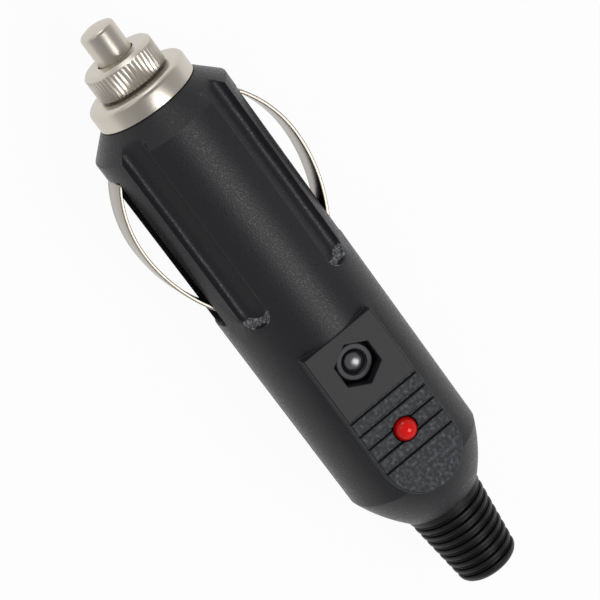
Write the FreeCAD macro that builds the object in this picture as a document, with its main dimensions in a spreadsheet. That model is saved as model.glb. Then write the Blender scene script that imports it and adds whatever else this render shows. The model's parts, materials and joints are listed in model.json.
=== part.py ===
import FreeCAD, Part
import math
import os
import re
import Sketcher

# A car cigarette lighter plug with a fused, sprung tip, two bowed side contacts and a lamp.
# Drawn lying down: X runs from the tip to the cord end, Z points up out of the grip pad.
# Every sketch measures X from the rim where the nose cone meets the barrel, and Y and Z from
# the plug's own axis. The placements then move the origin under the middle of the plug.

# Driving dimensions in millimetres and degrees
SIZES = {
    # Moulded housing
    "barrel_radius": 10.42,
    "barrel_taper": 0.22,
    "barrel_length": 59.3,
    "nose_length": 3.05,
    "nose_radius": 7.4,
    "dome_length": 7.5,
    "dome_end_radius": 5.8,
    "dome_curve": 26.0,
    "fit_gap": 0.1,
    # Long flutes along the front of the barrel
    "flute_angle": 42.5,
    "flute_depth": 1.57,
    "flute_half_width": 1.95,
    "flute_draft": 15.0,
    "flute_pad_gap": 6.7,
    "flute_cut_height": 2.6,
    "flute_rounding": 1.1,
    # Grip pad with its finger grooves
    "pad_start": 35.0,
    "pad_width": 11.6,
    "pad_overhang": 2.0,
    "pad_rise": 0.03,
    "pad_depth": 2.65,
    "pad_rounding": 0.3,
    "pad_pitches": 12,
    "groove_first": 5,
    "groove_count": 5,
    "groove_width": 0.45,
    "groove_depth": 0.45,
    # Hollow behind the fuse
    "chamber_side_wall": 2.82,
    "chamber_wall": 1.8,
    "chamber_rear_wall": 2.3,
    "cable_way_radius": 3.0,
    # Clamp screw and nut
    "screw_offset": 5.0,
    "screw_radius": 1.5,
    "screw_head_radius": 2.8,
    "screw_head_height": 2.0,
    "screw_head_sink": 1.05,
    "screw_crown_radius": 1.7,
    "screw_crown_height": 1.0,
    "screw_head_gap": 0.3,
    "screw_tip_rise": 0.25,
    "screw_tip_dome": 0.5,
    "recess_width": 0.8,
    "recess_length": 3.0,
    "recess_depth": 1.0,
    "nut_across_flats": 5.5,
    "nut_pocket_across_flats": 5.75,
    "nut_thickness": 2.4,
    "nut_sink": 1.5,
    "nut_chamfer_radius": 2.5,
    "nut_chamfer_angle": 30.0,
    "nut_thread_gap": 0.05,
    "boss_radius": 4.4,
    # Lamp and its resistor
    "lamp_pitches": 7.5,
    "lamp_radius": 1.65,
    "lamp_rise": 1.25,
    "lamp_flange_radius": 2.0,
    "lamp_flange_thickness": 1.0,
    "lamp_seat_depth": 2.65,
    "lead_spacing": 2.54,
    "lead_width": 0.5,
    "lead_drop": 3.6,
    "lead_foot": 0.8,
    "resistor_radius": 0.95,
    "resistor_length": 3.4,
    "resistor_lead": 0.3,
    "resistor_shoulder": 0.3,
    "resistor_waist_radius": 0.8,
    "resistor_end_length": 0.85,
    # Threaded bush in the nose
    "flange_radius": 7.34,
    "flange_thickness": 3.1,
    "flange_rounding": 0.8,
    "bush_neck_radius": 5.6,
    "bush_neck_length": 1.5,
    "bush_collar_radius": 6.6,
    "bush_collar_length": 2.0,
    "bush_floor": 0.6,
    "thread_gap": 0.15,
    # Knurled cap
    "cap_radius": 5.13,
    "cap_length": 3.9,
    "cap_gap": 0.3,
    "cap_bevel": 0.45,
    "cap_lip": 1.2,
    "cap_thread_radius": 3.95,
    "cap_thread_length": 5.6,
    "cap_bore_radius": 3.3,
    "knurl_count": 54,
    "knurl_depth": 0.2,
    "knurl_length": 3.0,
    # Sprung tip
    "tip_radius": 2.55,
    "tip_reach": 4.95,
    "tip_dome": 0.7,
    "tip_rounding": 0.35,
    "tip_gap": 0.15,
    "tip_shoulder_radius": 3.1,
    "tip_shoulder_length": 1.5,
    "tip_bore_radius": 1.95,
    "tip_end_wall": 2.2,
    "spring_radius": 1.5,
    "spring_wire_radius": 0.22,
    "spring_turns": 6,
    # Cartridge fuse and its rear terminal
    "fuse_radius": 3.0,
    "fuse_length": 30.0,
    "fuse_gap": 0.2,
    "fuse_cap_length": 6.0,
    "fuse_cap_wall": 0.25,
    "fuse_glass_wall": 0.6,
    "fuse_glass_gap": 0.02,
    "fuse_wire_radius": 0.15,
    "terminal_radius": 3.8,
    "terminal_thickness": 0.6,
    "terminal_gap": 0.05,
    "tag_width": 2.0,
    "tag_length": 4.0,
    "tag_way_radius": 1.5,
    # Bowed side contacts and the slots that hold them
    "strip_width": 5.4,
    "strip_thickness": 0.5,
    "strip_gap": 0.3,
    "strip_bow": 2.73,
    "strip_peak_place": 12.45,
    "strip_leg_share": 0.34,
    "strip_landing": 0.5,
    "strip_foot_length": 0.9,
    "strip_bend": 0.9,
    "strip_tail_reach": 1.1,
    "strip_travel": 2.8,
    "slot_start": 2.5,
    "slot_end": 27.1,
    "slot_lip_depth": 1.77,
    "lip_gap": 0.05,
    # Ribbed strain relief
    "relief_reach": 12.65,
    "relief_root_radius": 5.75,
    "relief_end_radius": 4.4,
    "relief_bore_radius": 2.6,
    "relief_neck_radius": 4.6,
    "relief_lip": 2.0,
    "relief_collar_radius": 6.4,
    "relief_collar_length": 2.0,
    "relief_rounding": 1.5,
    "rib_start": 0.9,
    "rib_end": 0.87,
    "rib_count": 8,
    "rib_groove": 0.7,
    "rib_depth": 0.55,
}

# Places along the axis, worked out from the driving dimensions
FLANGE_BACK = "(-nose_length)"
FLANGE_FRONT = "(-nose_length - flange_thickness)"
CAP_BACK = f"({FLANGE_FRONT} - cap_gap)"
CAP_FRONT = f"({CAP_BACK} - cap_length)"
TIP_FRONT = f"({CAP_FRONT} - tip_reach)"
SHANK_BACK = f"({CAP_BACK} + cap_thread_length)"
COLLAR_FRONT = "(-nose_length + bush_neck_length)"
COLLAR_BACK = f"({COLLAR_FRONT} + bush_collar_length)"
FUSE_FRONT = f"({COLLAR_BACK} + fuse_gap)"
FUSE_BACK = f"({FUSE_FRONT} + fuse_length)"
TERMINAL_BACK = f"({FUSE_BACK} + terminal_thickness)"
CHAMBER_FRONT = f"({TERMINAL_BACK} + chamber_wall)"
CHAMBER_BACK = "(barrel_length - chamber_rear_wall)"
SCREW_PLACE = "(pad_start + screw_offset)"
PAD_BACK = "(barrel_length + pad_overhang)"
PITCH = f"(({PAD_BACK} - pad_start) / pad_pitches)"
LAMP_PLACE = f"(pad_start + lamp_pitches * {PITCH})"
FLUTE_BACK = "(pad_start - flute_pad_gap)"
HOUSING_BACK = "(barrel_length + dome_length)"
RELIEF_BACK = f"({HOUSING_BACK} + relief_reach)"
MIDDLE = f"(({TIP_FRONT} + {RELIEF_BACK}) / 2)"

# Heights over the axis, worked out from the barrel's radius
BARREL_REAR = "(barrel_radius - barrel_taper)"
PAD_TOP = "(barrel_radius + pad_rise)"
PAD_ROOT = f"({PAD_TOP} - pad_depth)"
FLUTE_FLOOR = "(barrel_radius - flute_depth)"
CHAMBER_RADIUS = "(barrel_radius - chamber_side_wall)"
SLOT_LIP = "(barrel_radius - slot_lip_depth)"
LAMP_SEAT = f"({PAD_TOP} - lamp_seat_depth)"
STRIP_PEAK = "(barrel_radius + strip_bow)"

# Other shared sizes
NUT_FLOOR = f"({PAD_TOP} - nut_sink - nut_thickness)"
HEAD_FLOOR = f"({PAD_TOP} - screw_head_sink - screw_head_height)"
FUSE_BORE = "(fuse_radius + fuse_gap)"
SLOT_HALF_WIDTH = "(strip_width / 2 + strip_gap)"
STRIP_LEDGE = f"({SLOT_LIP} - lip_gap)"
SLOT_FLOOR = f"({STRIP_LEDGE} - strip_thickness - strip_travel - strip_gap)"
LAMP_BASE = f"({LAMP_SEAT} - lamp_flange_thickness)"
STRIP_DROP = f"({STRIP_PEAK} - {STRIP_LEDGE})"
STRIP_LEG = "(slot_start + strip_gap)"
STRIP_RISE = f"({STRIP_DROP} * (1 - strip_leg_share))"
STRIP_LEAD = f"(strip_peak_place - {STRIP_LEG})"
STRIP_FRONT_CURVE = f"(({STRIP_LEAD} * {STRIP_LEAD} + {STRIP_RISE} * {STRIP_RISE}) / (2 * {STRIP_RISE}))"
STRIP_RUN = "(slot_end - strip_landing - strip_peak_place)"
STRIP_REAR_CURVE = f"(({STRIP_RUN} * {STRIP_RUN} + {STRIP_DROP} * {STRIP_DROP}) / (2 * {STRIP_DROP}))"

FULL_TURN = 360.0
HALF_TURN = 180.0
HEX_SIDES = 6
CLOSE = 1e-5

doc = FreeCAD.newDocument("LighterPlug")
sheet = doc.addObject("Spreadsheet::Sheet", "Dims")
for row, (alias, size) in enumerate(SIZES.items(), start=1):
    sheet.set(f"A{row}", alias)
    sheet.set(f"B{row}", str(size))
    sheet.setAlias(f"B{row}", alias)
doc.recompute()


def bound(text):
    """Turns a formula over the size names into one that reads the sheet."""
    return re.sub(r"[a-z_]+", lambda word: f"Dims.{word[0]}" if word[0] in SIZES else word[0], text)


def amount(text):
    """Gives the present value of a formula over the size names."""
    return float(sheet.evalExpression(bound(text)))


def new_body(label, place="0", height="0", turned=False):
    """Starts a sub-part whose local origin lies on the axis, or over a place along it."""
    body = doc.addObject("PartDesign::Body", label)
    body.Label = label
    flip = FreeCAD.Rotation(FreeCAD.Vector(1, 0, 0), HALF_TURN if turned else 0)
    body.Placement = FreeCAD.Placement(FreeCAD.Vector(), flip)
    body.setExpression("Placement.Base.x", bound(f"{place} - {MIDDLE}"))
    body.setExpression("Placement.Base.z", bound(f"{PAD_TOP} + {height}"))
    return body


def new_sketch(body, name, plane, height=None):
    """Attaches a sketch to one of the body's own planes, lifted along its normal if asked."""
    sketch = body.newObject("Sketcher::SketchObject", name)
    support = next(item for item in body.Origin.OriginFeatures if item.Role == plane)
    sketch.AttachmentSupport = [(support, "")]
    sketch.MapMode = "FlatFace"
    if height is not None:
        sketch.setExpression("AttachmentOffset.Base.z", bound(height))
    return sketch


def pin_point(sketch, edge, end, x, y):
    """Fixes one end of an edge at a bound place in the sketch."""
    for axis, text in (("X", x), ("Y", y)):
        index = sketch.addConstraint(Sketcher.Constraint(f"Distance{axis}", -1, 1, edge, end, amount(text)))
        sketch.setExpression(f"Constraints[{index}]", bound(text))


def arc_between(start, end, radius, side):
    """Gives the shorter arc between two points, bulging to the left or right of the way."""
    chord = end - start
    left = FreeCAD.Vector(-chord.y, chord.x, 0).normalize()
    middle = (start + end) * 0.5
    rise = radius - math.sqrt(max(radius ** 2 - (chord.Length / 2) ** 2, 0))
    return Part.Arc(start, middle + left * (rise if side == "left" else -rise), end)


def outline(sketch, corners):
    """Draws a closed outline through bound corners.

    A corner is its X and Y, and then a radius and a side where an arc leaves it.
    """
    points = [FreeCAD.Vector(amount(corner[0]), amount(corner[1]), 0) for corner in corners]
    following = points[1:] + points[:1]
    edges = []
    ends = []
    for (_, _, *arc), start, end in zip(corners, points, following):
        edge = arc_between(start, end, amount(arc[0]), arc[1]) if arc else Part.LineSegment(start, end)
        edges.append(sketch.addGeometry(edge, False))
        ends.append((2, 1) if arc and arc[1] == "left" else (1, 2))
        if arc:
            index = sketch.addConstraint(Sketcher.Constraint("Radius", edges[-1], amount(arc[0])))
            sketch.setExpression(f"Constraints[{index}]", bound(arc[0]))
    for number, (x, y, *_) in enumerate(corners):
        sketch.addConstraint(Sketcher.Constraint(
            "Coincident", edges[number - 1], ends[number - 1][1], edges[number], ends[number][0]))
        pin_point(sketch, edges[number], ends[number][0], x, y)
    return sketch


def circle(sketch, radius, x="0", y="0"):
    """Draws a bound circle."""
    centre = FreeCAD.Vector(amount(x), amount(y), 0)
    edge = sketch.addGeometry(Part.Circle(centre, FreeCAD.Vector(0, 0, 1), amount(radius)), False)
    index = sketch.addConstraint(Sketcher.Constraint("Radius", edge, amount(radius)))
    sketch.setExpression(f"Constraints[{index}]", bound(radius))
    pin_point(sketch, edge, 3, x, y)
    return sketch


def rectangle(sketch, low_x, low_y, high_x, high_y):
    """Draws a bound rectangle."""
    return outline(sketch, [(low_x, low_y), (high_x, low_y), (high_x, high_y), (low_x, high_y)])


def hexagon(sketch, across_flats, x="0", y="0"):
    """Draws a bound hexagon with corners on the line through its centre along X."""
    corners = []
    reach = f"{across_flats} / (2 * cos({HALF_TURN / HEX_SIDES} deg))"
    for number in range(HEX_SIDES):
        turn = FULL_TURN / HEX_SIDES * number
        corners.append((f"{x} + {reach} * cos({turn} deg)", f"{y} + {reach} * sin({turn} deg)"))
    return outline(sketch, corners)


def turn(body, sketch, axis="H_Axis", angle=FULL_TURN, cut=False):
    """Revolves a sketch about one of its axes, as solid or as a cut."""
    feature = body.newObject("PartDesign::Groove" if cut else "PartDesign::Revolution", f"{sketch.Name}_turn")
    feature.Profile = sketch
    feature.ReferenceAxis = (sketch, [axis])
    feature.Angle = angle
    doc.recompute()
    return feature


def pad(body, sketch, length, symmetric=False, reverse=False):
    """Raises a sketch into a solid."""
    feature = body.newObject("PartDesign::Pad", f"{sketch.Name}_pad")
    feature.Profile = sketch
    feature.setExpression("Length", bound(length))
    feature.SideType = "Symmetric" if symmetric else "One side"
    feature.Reversed = reverse
    doc.recompute()
    return feature


def pocket(body, sketch, length=None, upward=True, draft=None):
    """Cuts a sketch into the solid, right through where no length is given."""
    before = body.Shape.Volume
    feature = body.newObject("PartDesign::Pocket", f"{sketch.Name}_cut")
    feature.Profile = sketch
    feature.Reversed = upward
    if length is None:
        feature.Type = "ThroughAll"
    else:
        feature.setExpression("Length", bound(length))
    if draft is not None:
        feature.setExpression("TaperAngle", bound(draft))
    doc.recompute()
    if body.Shape.Volume >= before:
        raise RuntimeError(f"{feature.Name} cuts nothing")
    return feature


def round_edges(body, name, radius, wanted):
    """Rounds the edges of the solid that the test picks out."""
    base = body.Tip
    names = [f"Edge{number}" for number, edge in enumerate(base.Shape.Edges, start=1)
             if not edge.Degenerated and wanted(edge)]
    feature = body.newObject("PartDesign::Fillet", name)
    feature.Base = (base, names)
    feature.setExpression("Radius", bound(radius))
    doc.recompute()
    return feature


def is_ring(edge, x, radius):
    """Tells whether an edge is the circle of that radius about the axis at that place."""
    if not isinstance(edge.Curve, Part.Circle):
        return False
    near_place = abs(edge.Curve.Center.x - amount(x)) < CLOSE
    return near_place and abs(edge.Curve.Radius - amount(radius)) < CLOSE


# Housing halves

def wall_section(body):
    """Draws the wall of a half: outside from nose to cord end, then back along the hollows."""
    fit = "fit_gap"
    neck_bore = f"relief_neck_radius + {fit}"
    collar_bore = f"relief_collar_radius + {fit}"
    lip_front = f"{HOUSING_BACK} - relief_lip"
    seat_front = f"{lip_front} - relief_collar_length - {fit}"
    corners = [
        (FLANGE_BACK, f"bush_neck_radius + {fit}"),
        (FLANGE_BACK, "nose_radius"),
        ("0", "barrel_radius"),
        ("barrel_length", BARREL_REAR, "dome_curve", "left"),
        (HOUSING_BACK, "dome_end_radius"),
        (HOUSING_BACK, neck_bore),
        (lip_front, neck_bore),
        (lip_front, collar_bore),
        (seat_front, collar_bore),
        (seat_front, "cable_way_radius"),
        (CHAMBER_BACK, "cable_way_radius"),
        (CHAMBER_BACK, CHAMBER_RADIUS),
        (CHAMBER_FRONT, CHAMBER_RADIUS),
        (CHAMBER_FRONT, "tag_way_radius"),
        (f"{TERMINAL_BACK} + terminal_gap", "tag_way_radius"),
        (f"{TERMINAL_BACK} + terminal_gap", f"terminal_radius + {fit}"),
        (FUSE_BACK, f"terminal_radius + {fit}"),
        (FUSE_BACK, FUSE_BORE),
        (COLLAR_BACK, FUSE_BORE),
        (COLLAR_BACK, f"bush_collar_radius + {fit}"),
        (COLLAR_FRONT, f"bush_collar_radius + {fit}"),
        (COLLAR_FRONT, f"bush_neck_radius + {fit}"),
    ]
    return outline(new_sketch(body, f"{body.Name}_wall", "XY_Plane"), corners)


def cut_flutes(body):
    """Cuts the two long flutes beside the top land, with round ends, drafted walls and soft feet."""
    angle = "flute_angle * 1 deg"
    front = f"{FLANGE_BACK} - flute_half_width"
    bend = f"{FLUTE_BACK} - flute_half_width"
    corners = [
        (front, "-flute_half_width"),
        (bend, "-flute_half_width", "flute_half_width", "right"),
        (FLUTE_BACK, "0", "flute_half_width", "right"),
        (bend, "flute_half_width"),
        (front, "flute_half_width"),
    ]
    for side, sign in (("left", -1), ("right", 1)):
        sketch = new_sketch(body, f"{body.Name}_{side}_flute", "XY_Plane")
        tilt = FreeCAD.Rotation(FreeCAD.Vector(1, 0, 0), -sign * amount("flute_angle"))
        sketch.AttachmentOffset = FreeCAD.Placement(FreeCAD.Vector(), tilt)
        sketch.setExpression("AttachmentOffset.Base.y", bound(f"{sign} * {FLUTE_FLOOR} * sin({angle})"))
        sketch.setExpression("AttachmentOffset.Base.z", bound(f"{FLUTE_FLOOR} * cos({angle})"))
        pocket(body, outline(sketch, corners), "flute_cut_height", draft="flute_draft")
        out = tilt.multVec(FreeCAD.Vector(0, 0, 1))

        def is_foot(edge):
            """Tells whether an edge runs along the foot of the flute's wall."""
            places = edge.discretize(3)
            inside = all(place.x > amount(FLANGE_BACK) + CLOSE for place in places[1:-1])
            return inside and all(abs(place.dot(out) - amount(FLUTE_FLOOR)) < CLOSE for place in places)

        round_edges(body, f"{body.Name}_{side}_flute_foot", "flute_rounding", is_foot)


def raise_grip_pad(body):
    """Raises the flat pad with its round rear end, then cuts the finger grooves across it."""
    half = "pad_width / 2"
    bend = f"{PAD_BACK} - {half}"
    corners = [
        ("pad_start", f"-{half}"),
        (bend, f"-{half}", half, "right"),
        (PAD_BACK, "0", half, "right"),
        (bend, half),
        ("pad_start", half),
    ]
    sketch = new_sketch(body, f"{body.Name}_grip", "XY_Plane", PAD_ROOT)
    pad(body, outline(sketch, corners), "pad_depth")

    def is_rim(edge):
        """Tells whether an edge is a side or the round end of the pad's top."""
        places = edge.discretize(3)
        behind = max(place.x for place in places) > amount("pad_start") + CLOSE
        return behind and all(abs(place.z - amount(PAD_TOP)) < CLOSE for place in places)

    round_edges(body, f"{body.Name}_grip_rim", "pad_rounding", is_rim)
    groove = new_sketch(body, f"{body.Name}_groove", "XY_Plane", f"{PAD_TOP} - groove_depth")
    first = f"pad_start + groove_first * {PITCH}"
    rectangle(groove, f"{first} - groove_width / 2", "-pad_width", f"{first} + groove_width / 2", "pad_width")
    cut = pocket(body, groove, "groove_depth * 2")
    rows = body.newObject("PartDesign::LinearPattern", f"{body.Name}_groove_rows")
    rows.Originals = [cut]
    rows.Direction = (groove, ["H_Axis"])
    rows.setExpression("Length", bound(f"{PITCH} * (groove_count - 1)"))
    rows.setExpression("Occurrences", bound("groove_count"))
    body.Tip = rows
    doc.recompute()


def cut_contact_slots(body):
    """Cuts half of the two side slots: a wide hollow, and a shorter mouth that leaves two lips."""
    hollow_front = "slot_start - strip_foot_length - strip_gap"
    hollow_back = "slot_end + strip_tail_reach + strip_gap"
    mouth = "barrel_radius * 2"
    for side, sign in (("left", "-"), ("right", "")):
        corners = [
            (hollow_front, f"{sign}{SLOT_FLOOR}"),
            (hollow_back, f"{sign}{SLOT_FLOOR}"),
            (hollow_back, f"{sign}{SLOT_LIP}"),
            ("slot_end", f"{sign}{SLOT_LIP}"),
            ("slot_end", f"{sign}{mouth}"),
            ("slot_start", f"{sign}{mouth}"),
            ("slot_start", f"{sign}{SLOT_LIP}"),
            (hollow_front, f"{sign}{SLOT_LIP}"),
        ]
        sketch = outline(new_sketch(body, f"{body.Name}_{side}_slot", "XY_Plane"), corners)
        pocket(body, sketch, SLOT_HALF_WIDTH)


def housing_half(label, holds_nut):
    """Builds a half with the nut and the lamp, or the turned one with the screw head."""
    body = new_body(label, turned=not holds_nut)
    turn(body, wall_section(body), angle=HALF_TURN)
    boss = circle(new_sketch(body, f"{label}_boss", "XY_Plane"), "boss_radius", SCREW_PLACE)
    pad(body, boss, PAD_ROOT)
    raise_grip_pad(body)
    cut_contact_slots(body)
    cut_flutes(body)
    hole = circle(new_sketch(body, f"{label}_screw_hole", "XY_Plane"), "screw_radius + fit_gap", SCREW_PLACE)
    pocket(body, hole)
    if holds_nut:
        seat = new_sketch(body, f"{label}_nut_pocket", "XY_Plane", NUT_FLOOR)
        seat.setExpression("AttachmentOffset.Base.x", bound(SCREW_PLACE))
        pocket(body, hexagon(seat, "nut_pocket_across_flats"))
        lamp = circle(new_sketch(body, f"{label}_lamp_hole", "XY_Plane"), "lamp_radius + fit_gap", LAMP_PLACE)
        pocket(body, lamp)
        ledge = new_sketch(body, f"{label}_lamp_seat", "XY_Plane")
        pocket(body, circle(ledge, "lamp_flange_radius + fit_gap", LAMP_PLACE), LAMP_SEAT)
    else:
        seat = new_sketch(body, f"{label}_head_pocket", "XY_Plane", HEAD_FLOOR)
        pocket(body, circle(seat, "screw_head_radius + screw_head_gap", SCREW_PLACE))
    return body


# Nose: bush, cap, tip and spring

def threaded_bush():
    """Builds the flanged bush that the halves hold by its collar."""
    body = new_body("threaded_bush")
    bore = "cap_thread_radius + thread_gap"
    floor_front = f"{COLLAR_BACK} - bush_floor"
    corners = [
        (FLANGE_FRONT, bore),
        (FLANGE_FRONT, "flange_radius"),
        (FLANGE_BACK, "flange_radius"),
        (FLANGE_BACK, "bush_neck_radius"),
        (COLLAR_FRONT, "bush_neck_radius"),
        (COLLAR_FRONT, "bush_collar_radius"),
        (COLLAR_BACK, "bush_collar_radius"),
        (COLLAR_BACK, FUSE_BORE),
        (floor_front, FUSE_BORE),
        (floor_front, bore),
    ]
    turn(body, outline(new_sketch(body, "bush_section", "XZ_Plane"), corners))
    round_edges(body, "bush_rim", "flange_rounding",
                lambda edge: is_ring(edge, FLANGE_FRONT, "flange_radius"))
    return body


def knurled_cap():
    """Builds the screw cap: a plain threaded shank and a head with a straight knurl."""
    body = new_body("knurled_cap")
    hole = "tip_radius + tip_gap"
    lip_back = f"{CAP_FRONT} + cap_lip"
    corners = [
        (CAP_FRONT, hole),
        (CAP_FRONT, "cap_radius - cap_bevel"),
        (f"{CAP_FRONT} + cap_bevel", "cap_radius"),
        (CAP_BACK, "cap_radius"),
        (CAP_BACK, "cap_thread_radius"),
        (SHANK_BACK, "cap_thread_radius"),
        (SHANK_BACK, "cap_bore_radius"),
        (lip_back, "cap_bore_radius"),
        (lip_back, hole),
    ]
    turn(body, outline(new_sketch(body, "cap_section", "XZ_Plane"), corners))
    tooth = new_sketch(body, "cap_knurl", "YZ_Plane", CAP_BACK)
    root = "cap_radius - knurl_depth"
    outer = "cap_radius + knurl_depth"
    spread = "knurl_depth * 2"
    outline(tooth, [("0", root), (spread, outer), (f"-{spread}", outer)])
    cut = pocket(body, tooth, "knurl_length", upward=False)
    ring = body.newObject("PartDesign::PolarPattern", "cap_knurl_ring")
    ring.Originals = [cut]
    ring.Axis = (tooth, ["N_Axis"])
    ring.Angle = FULL_TURN
    ring.setExpression("Occurrences", bound("knurl_count"))
    body.Tip = ring
    doc.recompute()
    return body


def center_contact():
    """Builds the hollow tip with the shoulder that the cap's lip keeps in."""
    body = new_body("center_contact")
    dome_back = f"{TIP_FRONT} + tip_dome"
    dome_curve = "(tip_radius * tip_radius + tip_dome * tip_dome) / (2 * tip_dome)"
    shoulder_front = f"{CAP_FRONT} + cap_lip + fit_gap"
    shoulder_back = f"{shoulder_front} + tip_shoulder_length"
    bore_front = f"{TIP_FRONT} + tip_end_wall"
    corners = [
        (TIP_FRONT, "0", dome_curve, "left"),
        (dome_back, "tip_radius"),
        (shoulder_front, "tip_radius"),
        (shoulder_front, "tip_shoulder_radius"),
        (shoulder_back, "tip_shoulder_radius"),
        (shoulder_back, "tip_bore_radius"),
        (bore_front, "tip_bore_radius"),
        (bore_front, "0"),
    ]
    turn(body, outline(new_sketch(body, "tip_section", "XZ_Plane"), corners))
    round_edges(body, "tip_edge", "tip_rounding", lambda edge: is_ring(edge, dome_back, "tip_radius"))
    return body


def contact_spring():
    """Coils the spring, of six-sided wire, from the end of the tip's bore to the fuse's front cap."""
    body = new_body("contact_spring")
    front = f"({TIP_FRONT} + tip_end_wall + spring_wire_radius + fit_gap)"
    back = f"({FUSE_FRONT} - spring_wire_radius - fit_gap)"
    sketch = new_sketch(body, "spring_wire", "XZ_Plane")
    hexagon(sketch, "spring_wire_radius * 2", front, "spring_radius")
    coil = body.newObject("PartDesign::AdditiveHelix", "spring_coil")
    coil.Profile = sketch
    coil.ReferenceAxis = (sketch, ["H_Axis"])
    coil.Mode = "height-turns-angle"
    coil.setExpression("Height", bound(f"{back} - {front}"))
    coil.setExpression("Turns", bound("spring_turns"))
    doc.recompute()
    return body


# Fuse and its terminal

def fuse_cap(label, front):
    """Builds a thimble over one end of the glass, closed at its outer end."""
    body = new_body(label)
    closed, opened = (FUSE_FRONT, f"{FUSE_FRONT} + fuse_cap_length")
    inside = f"{FUSE_FRONT} + fuse_cap_wall"
    if not front:
        closed, opened = (FUSE_BACK, f"{FUSE_BACK} - fuse_cap_length")
        inside = f"{FUSE_BACK} - fuse_cap_wall"
    wall = "fuse_radius - fuse_cap_wall"
    corners = [
        (closed, "0"),
        (closed, "fuse_radius"),
        (opened, "fuse_radius"),
        (opened, wall),
        (inside, wall),
        (inside, "0"),
    ]
    turn(body, outline(new_sketch(body, f"{label}_section", "XZ_Plane"), corners))
    return body


def fuse_tube():
    """Builds the glass tube between the end caps' floors."""
    body = new_body("fuse_tube")
    outer = "fuse_radius - fuse_cap_wall - fuse_glass_gap"
    sketch = new_sketch(body, "glass_section", "XZ_Plane")
    rectangle(sketch, f"{FUSE_FRONT} + fuse_cap_wall", f"{outer} - fuse_glass_wall",
              f"{FUSE_BACK} - fuse_cap_wall", outer)
    turn(body, sketch)
    return body


def fuse_wire():
    """Stretches the element from floor to floor of the end caps."""
    body = new_body("fuse_wire")
    sketch = new_sketch(body, "element_section", "YZ_Plane", f"{FUSE_FRONT} + fuse_cap_wall")
    pad(body, circle(sketch, "fuse_wire_radius"), "fuse_length - 2 * fuse_cap_wall")
    return body


def fuse_terminal():
    """Builds the disc behind the fuse and the solder tag that runs into the chamber."""
    body = new_body("fuse_terminal")
    disc = circle(new_sketch(body, "terminal_disc", "YZ_Plane", FUSE_BACK), "terminal_radius")
    pad(body, disc, "terminal_thickness")
    tag = new_sketch(body, "terminal_tag", "YZ_Plane", FUSE_BACK)
    rectangle(tag, "-tag_width / 2", "-terminal_thickness / 2", "tag_width / 2", "terminal_thickness / 2")
    pad(body, tag, "terminal_thickness + tag_length")
    return body


# Side contacts

def side_contact(label, turned):
    """Builds a bowed strip, held by its foot and tail under the lips of its slot."""
    body = new_body(label, turned=turned)
    inner_top = f"({STRIP_PEAK} - strip_thickness)"
    inner_front = f"({STRIP_FRONT_CURVE} - strip_thickness)"
    inner_rear = f"({STRIP_REAR_CURVE} - strip_thickness)"
    inner_level = f"({inner_rear} - {STRIP_DROP})"
    inner_landing = f"(strip_peak_place + sqrt({inner_rear} * {inner_rear} - {inner_level} * {inner_level}))"
    sole = f"({STRIP_LEDGE} - strip_thickness)"
    inner_leg = f"({STRIP_LEG} + strip_thickness)"
    inner_lead = f"(strip_peak_place - {inner_leg})"
    inner_sink = f"({inner_front} - sqrt({inner_front} * {inner_front} - {inner_lead} * {inner_lead}))"
    foot = "(slot_start - strip_foot_length)"
    tail = "(slot_end + strip_tail_reach)"

    corners = [
        (foot, sole),
        (foot, STRIP_LEDGE),
        (STRIP_LEG, STRIP_LEDGE),
        (STRIP_LEG, f"{STRIP_PEAK} - {STRIP_RISE}", STRIP_FRONT_CURVE, "left"),
        ("strip_peak_place", STRIP_PEAK, STRIP_REAR_CURVE, "left"),
        (f"strip_peak_place + {STRIP_RUN}", STRIP_LEDGE),
        (tail, STRIP_LEDGE),
        (tail, sole),
        (inner_landing, sole, inner_rear, "right"),
        ("strip_peak_place", inner_top, inner_front, "right"),
        (inner_leg, f"{inner_top} - {inner_sink}"),
        (inner_leg, sole),
    ]
    sketch = outline(new_sketch(body, f"{label}_section", "XY_Plane"), corners)
    pad(body, sketch, "strip_width", symmetric=True)

    def is_bend(edge):
        """Tells whether an edge runs across the strip where the bow leaves its leg."""
        if not isinstance(edge.Curve, Part.Line) or abs(edge.Length - amount("strip_width")) > CLOSE:
            return False
        place = edge.Vertexes[0].Point
        return abs(place.x - amount(STRIP_LEG)) < CLOSE and place.y > amount(SLOT_LIP)

    round_edges(body, f"{label}_bend", "strip_bend", is_bend)
    return body


# Clamp screw and nut

def clamp_screw():
    """Builds the pan-head screw, driven from below, with a domed end in the nut."""
    body = new_body("clamp_screw", SCREW_PLACE)
    head_low = f"(screw_head_sink - {PAD_TOP})"
    head_top = f"({head_low} + screw_head_height)"
    end = f"({PAD_TOP} - nut_sink + screw_tip_rise)"
    dome_curve = "(screw_radius * screw_radius + screw_tip_dome * screw_tip_dome) / (2 * screw_tip_dome)"
    corners = [
        ("0", head_low),
        ("screw_crown_radius", head_low),
        ("screw_head_radius", f"{head_low} + screw_crown_height"),
        ("screw_head_radius", head_top),
        ("screw_radius", head_top),
        ("screw_radius", f"{end} - screw_tip_dome", dome_curve, "right"),
        ("0", end),
    ]
    turn(body, outline(new_sketch(body, "screw_section", "XZ_Plane"), corners), "V_Axis")
    for name, long_x, long_y in (("recess_across", "recess_length", "recess_width"),
                                 ("recess_along", "recess_width", "recess_length")):
        slot = new_sketch(body, name, "XY_Plane", head_low)
        rectangle(slot, f"-{long_x} / 2", f"-{long_y} / 2", f"{long_x} / 2", f"{long_y} / 2")
        pocket(body, slot, "recess_depth")
    return body


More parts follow.
